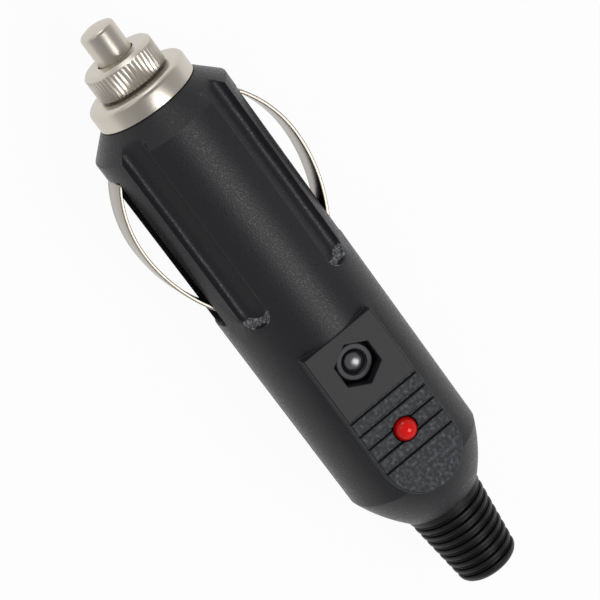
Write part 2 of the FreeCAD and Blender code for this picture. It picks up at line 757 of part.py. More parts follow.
def clamp_nut():
    """Builds the hexagon nut with its corners turned down on top."""
    body = new_body("clamp_nut", SCREW_PLACE)
    top = f"({NUT_FLOOR} + nut_thickness)"
    flats = hexagon(new_sketch(body, "nut_flats", "XY_Plane", NUT_FLOOR), "nut_across_flats")
    pad(body, flats, "nut_thickness")
    wide = "nut_across_flats"
    drop = f"({wide} - nut_chamfer_radius) * tan(nut_chamfer_angle * 1 deg)"
    corner = new_sketch(body, "nut_corner", "XZ_Plane")
    outline(corner, [("nut_chamfer_radius", top), (wide, top), (wide, f"{top} - {drop}")])
    turn(body, corner, "V_Axis", cut=True)
    hole = new_sketch(body, "nut_hole", "XY_Plane", NUT_FLOOR)
    pocket(body, circle(hole, "screw_radius + nut_thread_gap"))
    return body


# Lamp with its leads and resistor

def led_lamp():
    """Builds the domed lamp with the flange that seats it from inside."""
    body = new_body("led_lamp", LAMP_PLACE)
    top = f"({PAD_TOP} + lamp_rise)"
    corners = [
        ("0", LAMP_BASE),
        ("lamp_flange_radius", LAMP_BASE),
        ("lamp_flange_radius", LAMP_SEAT),
        ("lamp_radius", LAMP_SEAT),
        ("lamp_radius", f"{top} - lamp_radius", "lamp_radius", "right"),
        ("0", top),
    ]
    turn(body, outline(new_sketch(body, "lamp_section", "XZ_Plane"), corners), "V_Axis")
    return body


def led_lead(label, sign):
    """Builds one leg of the lamp, bent outward at its end."""
    body = new_body(label, LAMP_PLACE)
    inner = f"{sign} * (lead_spacing - lead_width) / 2"
    outer = f"{sign} * (lead_spacing + lead_width) / 2"
    end = f"{sign} * (lead_spacing / 2 + lead_foot)"
    low = f"{LAMP_BASE} - lead_drop"
    corners = [
        (inner, LAMP_BASE),
        (inner, low),
        (end, low),
        (end, f"{low} + lead_width"),
        (outer, f"{low} + lead_width"),
        (outer, LAMP_BASE),
    ]
    sketch = outline(new_sketch(body, f"{label}_bend", "YZ_Plane"), corners)
    pad(body, sketch, "lead_width", symmetric=True)
    return body


def led_resistor():
    """Builds the series resistor, in line with the foot of the lamp's right leg."""
    body = new_body("led_resistor", LAMP_PLACE, f"{LAMP_BASE} - lead_drop + lead_width / 2")
    lead = "lead_width / 2"
    start = "(lead_spacing / 2 + lead_foot)"
    near = f"({start} + resistor_lead)"
    far = f"({near} + resistor_length)"
    end = f"({far} + resistor_lead)"
    edge_radius = "resistor_radius - resistor_shoulder"
    corners = [
        (start, "0"),
        (end, "0"),
        (end, lead),
        (far, lead),
        (far, edge_radius),
        (f"{far} - resistor_shoulder", "resistor_radius"),
        (f"{far} - resistor_end_length", "resistor_radius"),
        (f"{far} - resistor_end_length", "resistor_waist_radius"),
        (f"{near} + resistor_end_length", "resistor_waist_radius"),
        (f"{near} + resistor_end_length", "resistor_radius"),
        (f"{near} + resistor_shoulder", "resistor_radius"),
        (near, edge_radius),
        (near, lead),
        (start, lead),
    ]
    turn(body, outline(new_sketch(body, "resistor_section", "YZ_Plane"), corners))
    return body


# Strain relief

def strain_relief():
    """Builds the tapering sleeve with its ring grooves, held by a collar inside the halves."""
    body = new_body("strain_relief")
    lip_front = f"{HOUSING_BACK} - relief_lip"
    collar_front = f"{lip_front} - relief_collar_length"
    slope = "((relief_root_radius - relief_end_radius) / relief_reach)"
    rib_pitch = "((relief_reach - rib_start - rib_end) / rib_count)"
    corners = [
        (collar_front, "relief_bore_radius"),
        (collar_front, "relief_collar_radius"),
        (lip_front, "relief_collar_radius"),
        (lip_front, "relief_neck_radius"),
        (HOUSING_BACK, "relief_neck_radius"),
        (HOUSING_BACK, "relief_root_radius"),
    ]
    for number in range(int(amount("rib_count"))):
        start = f"(rib_start + {number} * {rib_pitch})"
        end = f"({start} + rib_groove)"
        for reach, sink in ((start, "0"), (start, "rib_depth"), (end, "rib_depth"), (end, "0")):
            corners.append((f"{HOUSING_BACK} + {reach}", f"relief_root_radius - {slope} * {reach} - {sink}"))
    corners.append((RELIEF_BACK, "relief_end_radius"))
    corners.append((RELIEF_BACK, "relief_bore_radius"))
    turn(body, outline(new_sketch(body, "relief_section", "XZ_Plane"), corners))
    round_edges(body, "relief_end", "relief_rounding",
                lambda edge: is_ring(edge, RELIEF_BACK, "relief_end_radius"))
    return body


def build_all():
    """Builds every sub-part in the order in which the plug goes together."""
    return [
        housing_half("upper_housing", holds_nut=True),
        housing_half("lower_housing", holds_nut=False),
        threaded_bush(),
        knurled_cap(),
        center_contact(),
        contact_spring(),
        fuse_tube(),
        fuse_cap("fuse_front_cap", front=True),
        fuse_cap("fuse_rear_cap", front=False),
        fuse_wire(),
        fuse_terminal(),
        side_contact("left_side_contact", turned=True),
        side_contact("right_side_contact", turned=False),
        clamp_screw(),
        clamp_nut(),
        led_lamp(),
        led_lead("led_anode_lead", -1),
        led_lead("led_cathode_lead", 1),
        led_resistor(),
        strain_relief(),
    ]


def check_all(bodies):
    """Stops if any object failed or any sub-part isn't one sound solid."""
    for item in doc.Objects:
        if "Invalid" in item.State or "Error" in item.State:
            raise RuntimeError(f"{item.Label} failed: {item.State}")
    for body in bodies:
        if body.Shape.isNull() or not body.Shape.isValid() or len(body.Shape.Solids) != 1:
            raise RuntimeError(f"{body.Label} is not one sound solid")


sub_parts = build_all()
doc.recompute()
check_all(sub_parts)
os.makedirs("parts", exist_ok=True)
for sub_part in sub_parts:
    sub_part.Shape.exportStep(f"parts/{sub_part.Label}.step")
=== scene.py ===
import json
import logging
import math
from collections.abc import Callable, Iterator, Sequence
from contextlib import contextmanager
from dataclasses import dataclass, replace
from enum import Enum

import bmesh
import bpy
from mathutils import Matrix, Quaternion, Vector

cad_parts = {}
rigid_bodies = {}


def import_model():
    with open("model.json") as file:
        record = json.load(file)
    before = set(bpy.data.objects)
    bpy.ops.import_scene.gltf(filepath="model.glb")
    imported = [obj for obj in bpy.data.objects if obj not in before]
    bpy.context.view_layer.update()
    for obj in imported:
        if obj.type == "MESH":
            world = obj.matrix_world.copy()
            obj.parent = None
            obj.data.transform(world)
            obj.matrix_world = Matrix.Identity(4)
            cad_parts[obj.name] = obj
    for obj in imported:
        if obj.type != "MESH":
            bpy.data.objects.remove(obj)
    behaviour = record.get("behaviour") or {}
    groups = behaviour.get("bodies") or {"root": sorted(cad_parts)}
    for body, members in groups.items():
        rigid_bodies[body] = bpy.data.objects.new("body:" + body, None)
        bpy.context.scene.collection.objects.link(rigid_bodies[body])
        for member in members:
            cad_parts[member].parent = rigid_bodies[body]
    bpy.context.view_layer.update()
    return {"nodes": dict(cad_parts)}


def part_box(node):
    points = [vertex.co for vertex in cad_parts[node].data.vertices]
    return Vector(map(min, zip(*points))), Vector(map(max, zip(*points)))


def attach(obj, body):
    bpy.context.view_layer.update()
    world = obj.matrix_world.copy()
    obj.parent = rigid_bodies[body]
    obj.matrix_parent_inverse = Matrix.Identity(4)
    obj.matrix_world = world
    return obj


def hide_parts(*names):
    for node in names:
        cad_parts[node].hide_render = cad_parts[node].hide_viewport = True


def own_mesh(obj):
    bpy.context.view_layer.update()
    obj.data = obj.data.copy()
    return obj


for leftover in list(bpy.data.objects):
    bpy.data.objects.remove(leftover)
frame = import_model()

# A car cigarette lighter plug. Lengths are millimetres in the classes and metres in the scene.
# X runs from the tip to the cord end, +Y is the right side contact, +Z points up out of the grip pad.

MM = 0.001
FULL_TURN = math.tau
HALF_TURN = math.pi
RIGHT_ANGLE = math.pi / 2
# In metres: points nearer than WELD are merged, and points nearer than NEAR count as being at a place.
WELD = 1e-7
NEAR = 1e-6
SMOOTH_ANGLE = math.radians(35)
HEX_SIDES = 6
WHITE = "#ffffff"

# The sRGB curve: a straight foot up to the knee, and a power curve above it.
BYTE = 255
SRGB_KNEE = 0.04045
SRGB_SLOPE = 12.92
SRGB_OFFSET = 0.055
SRGB_POWER = 2.4

log = logging.getLogger("lighter_plug")


class Side(Enum):
    """The side of the plug that a contact springs out of."""

    LEFT = "left"
    RIGHT = "right"


# Small tools for shaders and meshes


def linear(hex_colour: str) -> tuple[float, float, float, float]:
    """Turns an sRGB hex colour into the linear colour that shaders take.

    Args:
        hex_colour: Six hexadecimal digits after a hash sign.

    Returns:
        Red, green, blue and a full alpha.
    """

    def straighten(level: float) -> float:
        """Takes the sRGB curve off one level from 0 to 1."""
        if level <= SRGB_KNEE:
            return level / SRGB_SLOPE
        return ((level + SRGB_OFFSET) / (1 + SRGB_OFFSET)) ** SRGB_POWER

    red, green, blue = (straighten(part / BYTE) for part in bytes.fromhex(hex_colour[1:]))
    return red, green, blue, 1.0


def add_node(
    tree: bpy.types.NodeTree,
    kind: str,
    inputs: dict[str | int, object] | None = None,
    **settings: object,
) -> bpy.types.Node:
    """Adds a shader node with its settings, and sets or links its inputs.

    Args:
        tree: The node tree that gets the node.
        kind: Blender's name for the node's type.
        inputs: Values or output sockets for the node's inputs, by name or number.
        settings: Attributes of the node itself.

    Returns:
        The new node.
    """
    node = tree.nodes.new(kind)
    for name, value in settings.items():
        setattr(node, name, value)
    for name, value in (inputs or {}).items():
        if isinstance(value, bpy.types.NodeSocket):
            tree.links.new(value, node.inputs[name])
        else:
            node.inputs[name].default_value = value
    return node


def pick(piece: bpy.types.Object) -> None:
    """Selects one object alone and makes it active.

    Args:
        piece: The object to select.
    """
    bpy.ops.object.select_all(action="DESELECT")
    piece.select_set(True)
    bpy.context.view_layer.objects.active = piece


@contextmanager
def editing(piece: bpy.types.Object) -> Iterator[bmesh.types.BMesh]:
    """Opens a piece in edit mode with nothing selected, and closes it again.

    Args:
        piece: The mesh object to edit.

    Yields:
        The piece's editable mesh, for selecting parts of it in code.
    """
    pick(piece)
    bpy.ops.object.mode_set(mode="EDIT")
    bpy.ops.mesh.select_mode(type="VERT")
    bpy.ops.mesh.select_all(action="DESELECT")
    yield bmesh.from_edit_mesh(piece.data)
    bpy.ops.object.mode_set(mode="OBJECT")


def select_points(piece: bpy.types.Object, wanted: Callable[[Vector], bool]) -> None:
    """Selects, in edit mode, the points that pass a test of their place in the scene.

    Args:
        piece: The piece in edit mode.
        wanted: The test of a point's place, in metres.
    """
    bpy.ops.mesh.select_all(action="DESELECT")
    mesh = bmesh.from_edit_mesh(piece.data)
    for point in mesh.verts:
        point.select = wanted(piece.matrix_world @ point.co)
    mesh.select_flush_mode()
    bmesh.update_edit_mesh(piece.data)


def close_shell() -> None:
    """Merges the doubles of the whole mesh in edit mode and points its faces outwards."""
    bpy.ops.mesh.select_all(action="SELECT")
    bpy.ops.mesh.remove_doubles(threshold=WELD)
    bpy.ops.mesh.normals_make_consistent(inside=False)


def settle(piece: bpy.types.Object) -> None:
    """Puts a piece's object at the origin, with its place in its mesh."""
    pick(piece)
    bpy.ops.object.transform_apply(location=True, rotation=True, scale=True)


def apply_modifier(piece: bpy.types.Object, kind: str, **settings: object) -> None:
    """Adds a modifier with its settings to a piece and applies it at once.

    Args:
        piece: The piece to change.
        kind: Blender's name for the modifier's type.
        settings: The modifier's attributes.
    """
    pick(piece)
    modifier = piece.modifiers.new(kind.title(), kind)
    for name, value in settings.items():
        setattr(modifier, name, value)
    bpy.ops.object.modifier_apply(modifier=modifier.name)


def carve(piece: bpy.types.Object, tool: bpy.types.Object, operation: str = "DIFFERENCE") -> None:
    """Cuts a piece with a tool shape, or trims it to the tool, and throws the tool away."""
    apply_modifier(piece, "BOOLEAN", operation=operation, solver="EXACT", object=tool)
    bpy.data.objects.remove(tool)


@dataclass(frozen=True)
class Corner:
    """One corner of a turned profile.

    Attributes:
        along: Distance from the start of the profile along the axis, in millimetres.
        radius: Distance from the axis, in millimetres.
        rounding: How far the rounded corner reaches back along each side, in millimetres.
    """

    along: float
    radius: float
    rounding: float = 0.0


@dataclass(frozen=True)
class Lathe:
    """Turns profiles about an axis of the scene.

    Attributes:
        centre: Where the profiles start on the axis, in metres.
        axis: The way the profiles run along the axis.
        outward: The way the radius is drawn before it is spun.
        steps: How many faces go round.
        rounding_steps: How many faces make up a rounded corner.
    """

    centre: Vector
    axis: Vector
    outward: Vector
    steps: int = 96
    rounding_steps: int = 5

    def place(self, corner: Corner) -> Vector:
        """Gives a corner's place in the scene before the spin, in metres."""
        return self.centre + (self.axis * corner.along + self.outward * corner.radius) * MM

    def turn(self, name: str, corners: Sequence[Corner], closed: bool = True) -> bpy.types.Object:
        """Draws a profile point by point, rounds its corners and spins it.

        Args:
            name: The new piece's name.
            corners: The profile, in order.
            closed: Whether the profile comes back to its first corner.

        Returns:
            The turned piece.
        """
        places = [self.place(corner) for corner in corners]
        route = places + places[:1] if closed else places
        bpy.ops.object.select_all(action="DESELECT")
        bpy.ops.mesh.primitive_plane_add(size=MM, location=places[0])
        piece = bpy.context.object
        piece.name = name
        with editing(piece):
            bpy.ops.mesh.select_all(action="SELECT")
            bpy.ops.mesh.merge(type="CENTER")
            for start, end in zip(route, route[1:]):
                bpy.ops.mesh.extrude_region_move(TRANSFORM_OT_translate={"value": end - start})
            bpy.ops.mesh.select_all(action="SELECT")
            bpy.ops.mesh.remove_doubles(threshold=WELD)
            for corner, spot in zip(corners, places):
                if corner.rounding:
                    select_points(piece, lambda point: (point - spot).length < NEAR)
                    bpy.ops.mesh.bevel(
                        offset=corner.rounding * MM,
                        segments=self.rounding_steps,
                        affect="VERTICES",
                    )
            bpy.ops.mesh.select_all(action="SELECT")
            bpy.ops.mesh.spin(steps=self.steps, angle=FULL_TURN, center=self.centre, axis=self.axis)
            close_shell()
        settle(piece)
        return piece

    def wind(
        self, name: str, section: Sequence[tuple[float, float]], pitch: float, turns: int
    ) -> bpy.types.Object:
        """Winds a closed section into a helix about the X axis.

        Args:
            name: The new piece's name.
            section: The section's corners, along and out from the axis, in millimetres.
            pitch: How far the helix goes in a turn, in millimetres.
            turns: How many turns it has.

        Returns:
            The wound piece.
        """
        bpy.ops.object.select_all(action="DESELECT")
        bpy.ops.mesh.primitive_circle_add(vertices=len(section), radius=MM, location=self.centre)
        piece = bpy.context.object
        piece.name = name
        for point, (along, radius) in zip(piece.data.vertices, section):
            point.co = (self.axis * along + self.outward * radius) * MM
        apply_modifier(
            piece,
            "SCREW",
            axis="X",
            screw_offset=pitch * MM,
            iterations=turns,
            steps=self.steps,
            render_steps=self.steps,
        )
        with editing(piece):
            bpy.ops.mesh.select_all(action="SELECT")
            bpy.ops.mesh.fill_holes(sides=len(section))
            close_shell()
        settle(piece)
        return piece


# Finishes


@dataclass(frozen=True)
class Finish:
    """A plain surface: one colour and one gloss all over.

    Attributes:
        name: What the material is and how its surface was made.
        slot: The record's material slot that it stands for. Not used.
        colour: The sRGB hex colour.
        roughness: The gloss, from 0, a mirror, to 1.
        metallic: 1 on bare metal.
        ior: The index of refraction, left at the usual one on metals.
        transmission: How much light goes through.
    """

    name: str
    slot: str
    colour: str
    roughness: float
    metallic: float = 0.0
    ior: float = 1.5
    transmission: float = 0.0

    def material(self) -> bpy.types.Material:
        """Gives the finish's material, which is made on first use.

        Returns:
            The material.
        """
        found = bpy.data.materials.get(self.name)
        if found:
            return found
        material = bpy.data.materials.new(self.name)
        material.use_nodes = True
        tree = material.node_tree
        shader = next(node for node in tree.nodes if node.type == "BSDF_PRINCIPLED")
        shader.inputs["Base Color"].default_value = linear(self.colour)
        shader.inputs["Roughness"].default_value = self.roughness
        shader.inputs["Metallic"].default_value = self.metallic
        shader.inputs["IOR"].default_value = self.ior
        shader.inputs["Transmission Weight"].default_value = self.transmission
        self.pattern(tree, shader)
        return material

    def pattern(self, tree: bpy.types.NodeTree, shader: bpy.types.Node) -> None:
        """Leaves the surface plain. Finishes with a pattern draw it here."""


@dataclass(frozen=True)
class GrainedFinish(Finish):
    """A moulded or blasted surface whose grain breaks up the light.

    Attributes:
        grain: The grain's width in millimetres.
        height: The grain's height in millimetres.
        pale: The sRGB hex colour of the grain's paler tops, which on the flutes' ramps is a painted
            highlight.
        share: How far the tops' colour shows, from 0 to 1.
        glint: How much smoother the grain's tops are than the rest.
        detail: How many times the grain is broken up finer.
        pale_from, pale_to: The heights in the grain, from 0 to 1, between which the pale colour comes in.
        glint_from, glint_to: The heights between which the gloss comes in.
    """

    grain: float = 0.3
    height: float = 0.01
    pale: str = "#303034"
    share: float = 0.0
    glint: float = 0.0
    detail: float = 3.0
    pale_from: float = 0.4
    pale_to: float = 0.75
    glint_from: float = 0.52
    glint_to: float = 0.68

    def pattern(self, tree: bpy.types.NodeTree, shader: bpy.types.Node) -> None:
        """Raises the grain and lets its tops show paler or smoother.

        Args:
            tree: The material's node tree.
            shader: The node that the grain feeds.
        """
        coordinates = add_node(tree, "ShaderNodeTexCoord")
        noise = add_node(
            tree,
            "ShaderNodeTexNoise",
            {
                "Vector": coordinates.outputs["Object"],
                "Scale": 1 / (self.grain * MM),
                "Detail": self.detail,
            },
        )
        bump = add_node(
            tree,
            "ShaderNodeBump",
            {"Height": noise.outputs["Fac"], "Distance": self.height * MM, "Strength": 1.0},
        )
        tree.links.new(bump.outputs["Normal"], shader.inputs["Normal"])
        if self.share:
            tops = add_node(
                tree,
                "ShaderNodeMapRange",
                {
                    "Value": noise.outputs["Fac"],
                    "From Min": self.pale_from,
                    "From Max": self.pale_to,
                    "To Max": self.share,
                },
            )
            mix = add_node(
                tree,
                "ShaderNodeMix",
                {"Factor": tops.outputs["Result"], "A": linear(self.colour), "B": linear(self.pale)},
                data_type="RGBA",
            )
            tree.links.new(mix.outputs["Result"], shader.inputs["Base Color"])
        if self.glint:
            gloss = add_node(
                tree,
                "ShaderNodeMapRange",
                {
                    "Value": noise.outputs["Fac"],
                    "From Min": self.glint_from,
                    "From Max": self.glint_to,
                    "To Min": self.roughness,
                    "To Max": self.roughness - self.glint,
                },
            )
            tree.links.new(gloss.outputs["Result"], shader.inputs["Roughness"])


@dataclass(frozen=True)
class ShadedLensFinish(Finish):
    """A tinted lens with painted shade: its colour darkens towards its foot.

    Attributes:
        deep: The sRGB hex colour of the painted shade at the foot.
        deep_level, pale_level: The heights over the floor between which the painted shade gives way to the
            lens's own colour, in millimetres.
    """

    deep: str = "#6e0303"
    deep_level: float = 20.288
    pale_level: float = 22.15

    def pattern(self, tree: bpy.types.NodeTree, shader: bpy.types.Node) -> None:
        """Blends the painted shade's deep colour into the lens's own colour up the height of the piece.

        Args:
            tree: The material's node tree.
            shader: The node that gets the colour.
        """
        coordinates = add_node(tree, "ShaderNodeTexCoord")
        parts = add_node(tree, "ShaderNodeSeparateXYZ", {0: coordinates.outputs["Object"]})
        height = add_node(
            tree,
            "ShaderNodeMapRange",
            {
                "Value": parts.outputs["Z"],
                "From Min": self.deep_level * MM,
                "From Max": self.pale_level * MM,
            },
        )
        mix = add_node(
            tree,
            "ShaderNodeMix",
            {"Factor": height.outputs["Result"], "A": linear(self.deep), "B": linear(self.colour)},
            data_type="RGBA",
        )
        tree.links.new(mix.outputs["Result"], shader.inputs["Base Color"])


# Black ABS from a finely etched mould: satin, with a speckle in its highlights.
# The etched grain is about 0.05 mm and is drawn coarser so that it shows.
SATIN_ABS = GrainedFinish(
    "etched black ABS", "black_abs", "#242427", 0.42, ior=1.37, grain=0.25, height=0.03, glint=0.22,
)
# The same ABS from a plain part of the mould: even and dull, without speckle.
PLAIN_ABS = Finish("plain black ABS", "black_abs", "#2f2f30", 0.5, ior=1.38)
# The same ABS from a spark-eroded part of the mould: dull and mottled, to be gripped.
# The craters are about 0.1 mm wide and are drawn coarser so that they show.
SPARKED_ABS = GrainedFinish(
    "spark-eroded black ABS", "black_abs", "#25272a", 0.55, ior=1.38,
    grain=0.55, height=0.03, pale="#5a5e65", share=0.5, glint=0.2,
)
# ABS on the flutes' rear ramps: pale flecks of painted highlight over a shine.
RAMP_HIGHLIGHT_ABS = GrainedFinish(
    "black ABS with painted highlight", "black_abs", "#2c2c2f", 0.36, ior=1.44,
    grain=0.3, height=0.015, pale="#a6a7ac", share=1.0, glint=0.14,
)
# Bright nickel on turned brass: warm, softly polished and faintly uneven.
# The unevenness is finer on the real plating and is drawn coarser so that it shows.
TURNED_NICKEL = GrainedFinish(
    "polished nickel plate", "nickel_plate", "#cdc6bb", 0.32, metallic=1.0, grain=0.25, height=0.003,
)
# The same plating on the strips, its colour darker than the bush's as painted shade.
SHADED_STRIP_NICKEL = GrainedFinish(
    "nickel-plated strip with painted shade", "nickel_plate", "#9f988e", 0.28, metallic=1.0, grain=0.6, height=0.002,
)
# Steel with a black oxide skin, oily and half glossy, with a grain like fine grit.
BLACK_OXIDE = GrainedFinish(
    "black oxide steel", "black_steel", "#3c3c3e", 0.45, metallic=1.0, grain=0.2, height=0.004,
)
# The screw's end, burnished by the nut: the same skin worn to a dark mirror.
BURNISHED_STEEL = Finish("burnished black steel", "black_steel", "#78787a", 0.28, metallic=1.0)
# Cast epoxy tinted red: a glassy skin over a colour darkened towards the foot as painted shade.
RED_EPOXY = ShadedLensFinish("red epoxy with painted shade", "red_epoxy", "#ee0e05", 0.06, ior=1.38)
# Soft black PVC, moulded: darker and duller than the housing.
# Its skin's grain is about 0.1 mm and is drawn coarser so that it shows.
SOFT_PVC = GrainedFinish(
    "soft black PVC", "black_rubber", "#0a0a0b", 0.42, ior=1.36, grain=0.4, height=0.012,
)
# Drawn spring wire, clean and grey.
SPRING_WIRE = Finish("drawn spring steel", "spring_steel", "#b4b4b6", 0.3, metallic=1.0)
# Clear tube glass of the fuse.
FUSE_GLASS = Finish("clear tube glass", "fuse_glass", "#f2f7f5", 0.02, ior=1.47, transmission=1.0)
# Copper with a dip of tin: pale and slightly dull.
TINNED_COPPER = Finish("tinned copper", "tinned_wire", "#c4c4c2", 0.32, metallic=1.0)
# Stamped brass, bare.
STAMPED_BRASS = Finish("stamped brass", "plain_brass", "#c9a45c", 0.3, metallic=1.0)
# Beige lacquer over the resistor's ceramic rod.
BEIGE_LACQUER = Finish("beige lacquer", "resistor_lacquer", "#cfb48a", 0.25)


def hand_over(
    piece: bpy.types.Object, finish: Finish, body: str, node: str
) -> bpy.types.Object:
    """Smooths a finished piece, dresses it and sets it on its body in place of its CAD node.

    Args:
        piece: The finished piece.
        finish: What it is made of.
        body: The CAD body that it moves with.
        node: The CAD node that it stands for.

    Returns:
        The same piece.
    """
    pick(piece)
    bpy.ops.object.shade_smooth_by_angle(angle=SMOOTH_ANGLE)
    if not piece.data.materials:
        piece.data.materials.append(finish.material())
    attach(piece, body)
    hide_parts(node)
    log.info("%s: %d faces, %s", piece.name, len(piece.data.polygons), finish.name)
    return piece


def nose_lathe(node: str, steps: int = 96) -> Lathe:
    """Gives a lathe on the plug's own axis that starts at a CAD node's front end.

    Args:
        node: The CAD node.
        steps: How many faces go round.

    Returns:
        The lathe.
    """
    low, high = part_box(node)
    centre = Vector((low.x, (low.y + high.y) / 2, (low.z + high.z) / 2))
    return Lathe(centre, Vector((1, 0, 0)), Vector((0, 0, 1)), steps)


def upright_lathe(node: str, steps: int = 64) -> Lathe:
    """Gives a lathe on an upright axis that starts at the underside of a CAD node.

    Args:
        node: The CAD node.
        steps: How many faces go round.

    Returns:
        The lathe.
    """
    low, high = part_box(node)
    centre = Vector(((low.x + high.x) / 2, (low.y + high.y) / 2, low.z))
    return Lathe(centre, Vector((0, 0, 1)), Vector((1, 0, 0)), steps)


# Sub-assemblies


@dataclass
class MouldedHousing:
    """The two black halves, with softened edges and a rougher grip zone on each pad.

    Lengths are in millimetres.

    Attributes:
        edge: How far the moulded edges are rounded.
        edge_steps: How many faces make up a rounded edge.
        edge_angle: The least bend that counts as an edge, in degrees.
        normal_weight: How strongly large faces keep their own shading, from 1 to 100.
        nose_length: How much of the front end keeps its crisp edges.
        grip_length, pad_length: How far the rough zone and the pad reach from the pad's round end.
        pad_overhang, dome_length: How far the pad reaches over the dome, and the dome's length.
        pad_skin: How far from the pad's level its flat face is looked for.
        facing: The least outward part of a pad face's normal.
        flute_end, flute_ramp: Where the flutes end, from the front, and the length of their ramps.
        flute_height: How far from the parting plane the flutes lie.
        ramp_facing: The least forward part of a ramp face's normal.
    """

    edge: float = 0.14
    edge_steps: int = 3
    edge_angle: float = 28.0
    normal_weight: int = 60
    nose_length: float = 4.1
    grip_length: float = 15.2
    pad_length: float = 26.2
    pad_overhang: float = 2.0
    dome_length: float = 7.5
    pad_skin: float = 0.02
    facing: float = 0.95
    flute_end: float = 31.35
    flute_ramp: float = 2.0
    flute_height: float = 3.5
    ramp_facing: float = 0.25

    def build(self) -> list[bpy.types.Object]:
        """Builds and dresses both halves."""
        # The halves mirror each other, so the upper pad is twice as high as the parting plane.
        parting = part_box("lower_housing")[1].z
        return [self.half("upper_housing", parting * 2, 1), self.half("lower_housing", 0.0, -1)]

    def half(self, node: str, pad_level: float, up: int) -> bpy.types.Object:
        """Copies one half from the frame, rounds its edges and dresses it.

        Args:
            node: The half's CAD node.
            pad_level: The height of its pad's face, in metres.
            up: 1 where the pad faces up and -1 where it faces down.

        Returns:
            The dressed half.
        """
        shell = bpy.data.objects.new(f"{node}_moulding", frame["nodes"][node].data.copy())
        bpy.context.collection.objects.link(shell)
        pick(shell)
        bpy.ops.mesh.customdata_custom_splitnormals_clear()
        with editing(shell):
            bpy.ops.mesh.select_all(action="SELECT")
            bpy.ops.mesh.remove_doubles(threshold=WELD)
        self.round_edges(shell)
        shell.data.materials.clear()
        shell.data.materials.append(SATIN_ABS.material())
        self.dress_zones(shell, pad_level, up)
        hand_over(shell, SATIN_ABS, "housing", node)
        apply_modifier(
            shell,
            "WEIGHTED_NORMAL",
            mode="FACE_AREA_WITH_ANGLE",
            weight=self.normal_weight,
            keep_sharp=True,
        )
        return shell

    def round_edges(self, shell: bpy.types.Object) -> None:
        """Rounds the sharp edges behind the nose cone, whose thin run-outs stay crisp.

        Args:
            shell: The half to round.
        """
        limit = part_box("lower_housing")[0].x + self.nose_length * MM
        with editing(shell) as mesh:
            bpy.ops.mesh.select_mode(type="EDGE")
            bpy.ops.mesh.edges_select_sharp(sharpness=math.radians(self.edge_angle))
            for edge in mesh.edges:
                edge.select = edge.select and all(point.co.x > limit for point in edge.verts)
            bmesh.update_edit_mesh(shell.data)
            bpy.ops.mesh.bevel(
                offset=self.edge * MM, segments=self.edge_steps, clamp_overlap=False, loop_slide=False
            )

    def dress_zones(self, shell: bpy.types.Object, pad_level: float, up: int) -> None:
        """Gives the pad a rough zone and a plain one, and the flutes' rear ramps pale flecks of painted
        highlight.

        Args:
            shell: The half to dress.
            pad_level: The height of the pad's face, in metres.
            up: 1 where the pad faces up and -1 where it faces down.
        """
        low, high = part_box("upper_housing")
        rear = high.x - (self.dome_length - self.pad_overhang) * MM
        grip = rear - self.grip_length * MM
        pad = rear - self.pad_length * MM
        flute = low.x + self.flute_end * MM

        def on_pad(spot: Vector, normal: Vector) -> bool:
            """Tells whether a face is part of the pad's flat top."""
            return abs(spot.z - pad_level) < self.pad_skin * MM and normal.z * up > self.facing

        def on_ramp(spot: Vector, normal: Vector) -> bool:
            """Tells whether a face is part of a flute's rear ramp."""
            inside = flute - self.flute_ramp * MM < spot.x < flute + self.edge * MM
            beside = (spot.z - low.z) * up > self.flute_height * MM
            return inside and beside and normal.x < -self.ramp_facing

        self.paint(shell, SPARKED_ABS, lambda spot, normal: on_pad(spot, normal) and spot.x > grip)
        self.paint(shell, PLAIN_ABS, lambda spot, normal: on_pad(spot, normal) and pad < spot.x < grip)
        # The flutes' rear ramps get pale flecks as a painted highlight.
        self.paint(shell, RAMP_HIGHLIGHT_ABS, on_ramp)

    def paint(
        self, shell: bpy.types.Object, finish: Finish, wanted: Callable[[Vector, Vector], bool]
    ) -> None:
        """Gives some faces of a half another finish.

        Args:
            shell: The half to paint.
            finish: What the faces look like.
            wanted: A test of a face's middle and normal.
        """
        shell.data.materials.append(finish.material())
        with editing(shell) as mesh:
            bpy.ops.mesh.select_mode(type="FACE")
            for face in mesh.faces:
                face.select = wanted(face.calc_center_median(), face.normal)
            bmesh.update_edit_mesh(shell.data)
            shell.active_material_index = len(shell.data.materials) - 1
            bpy.ops.object.material_slot_assign()


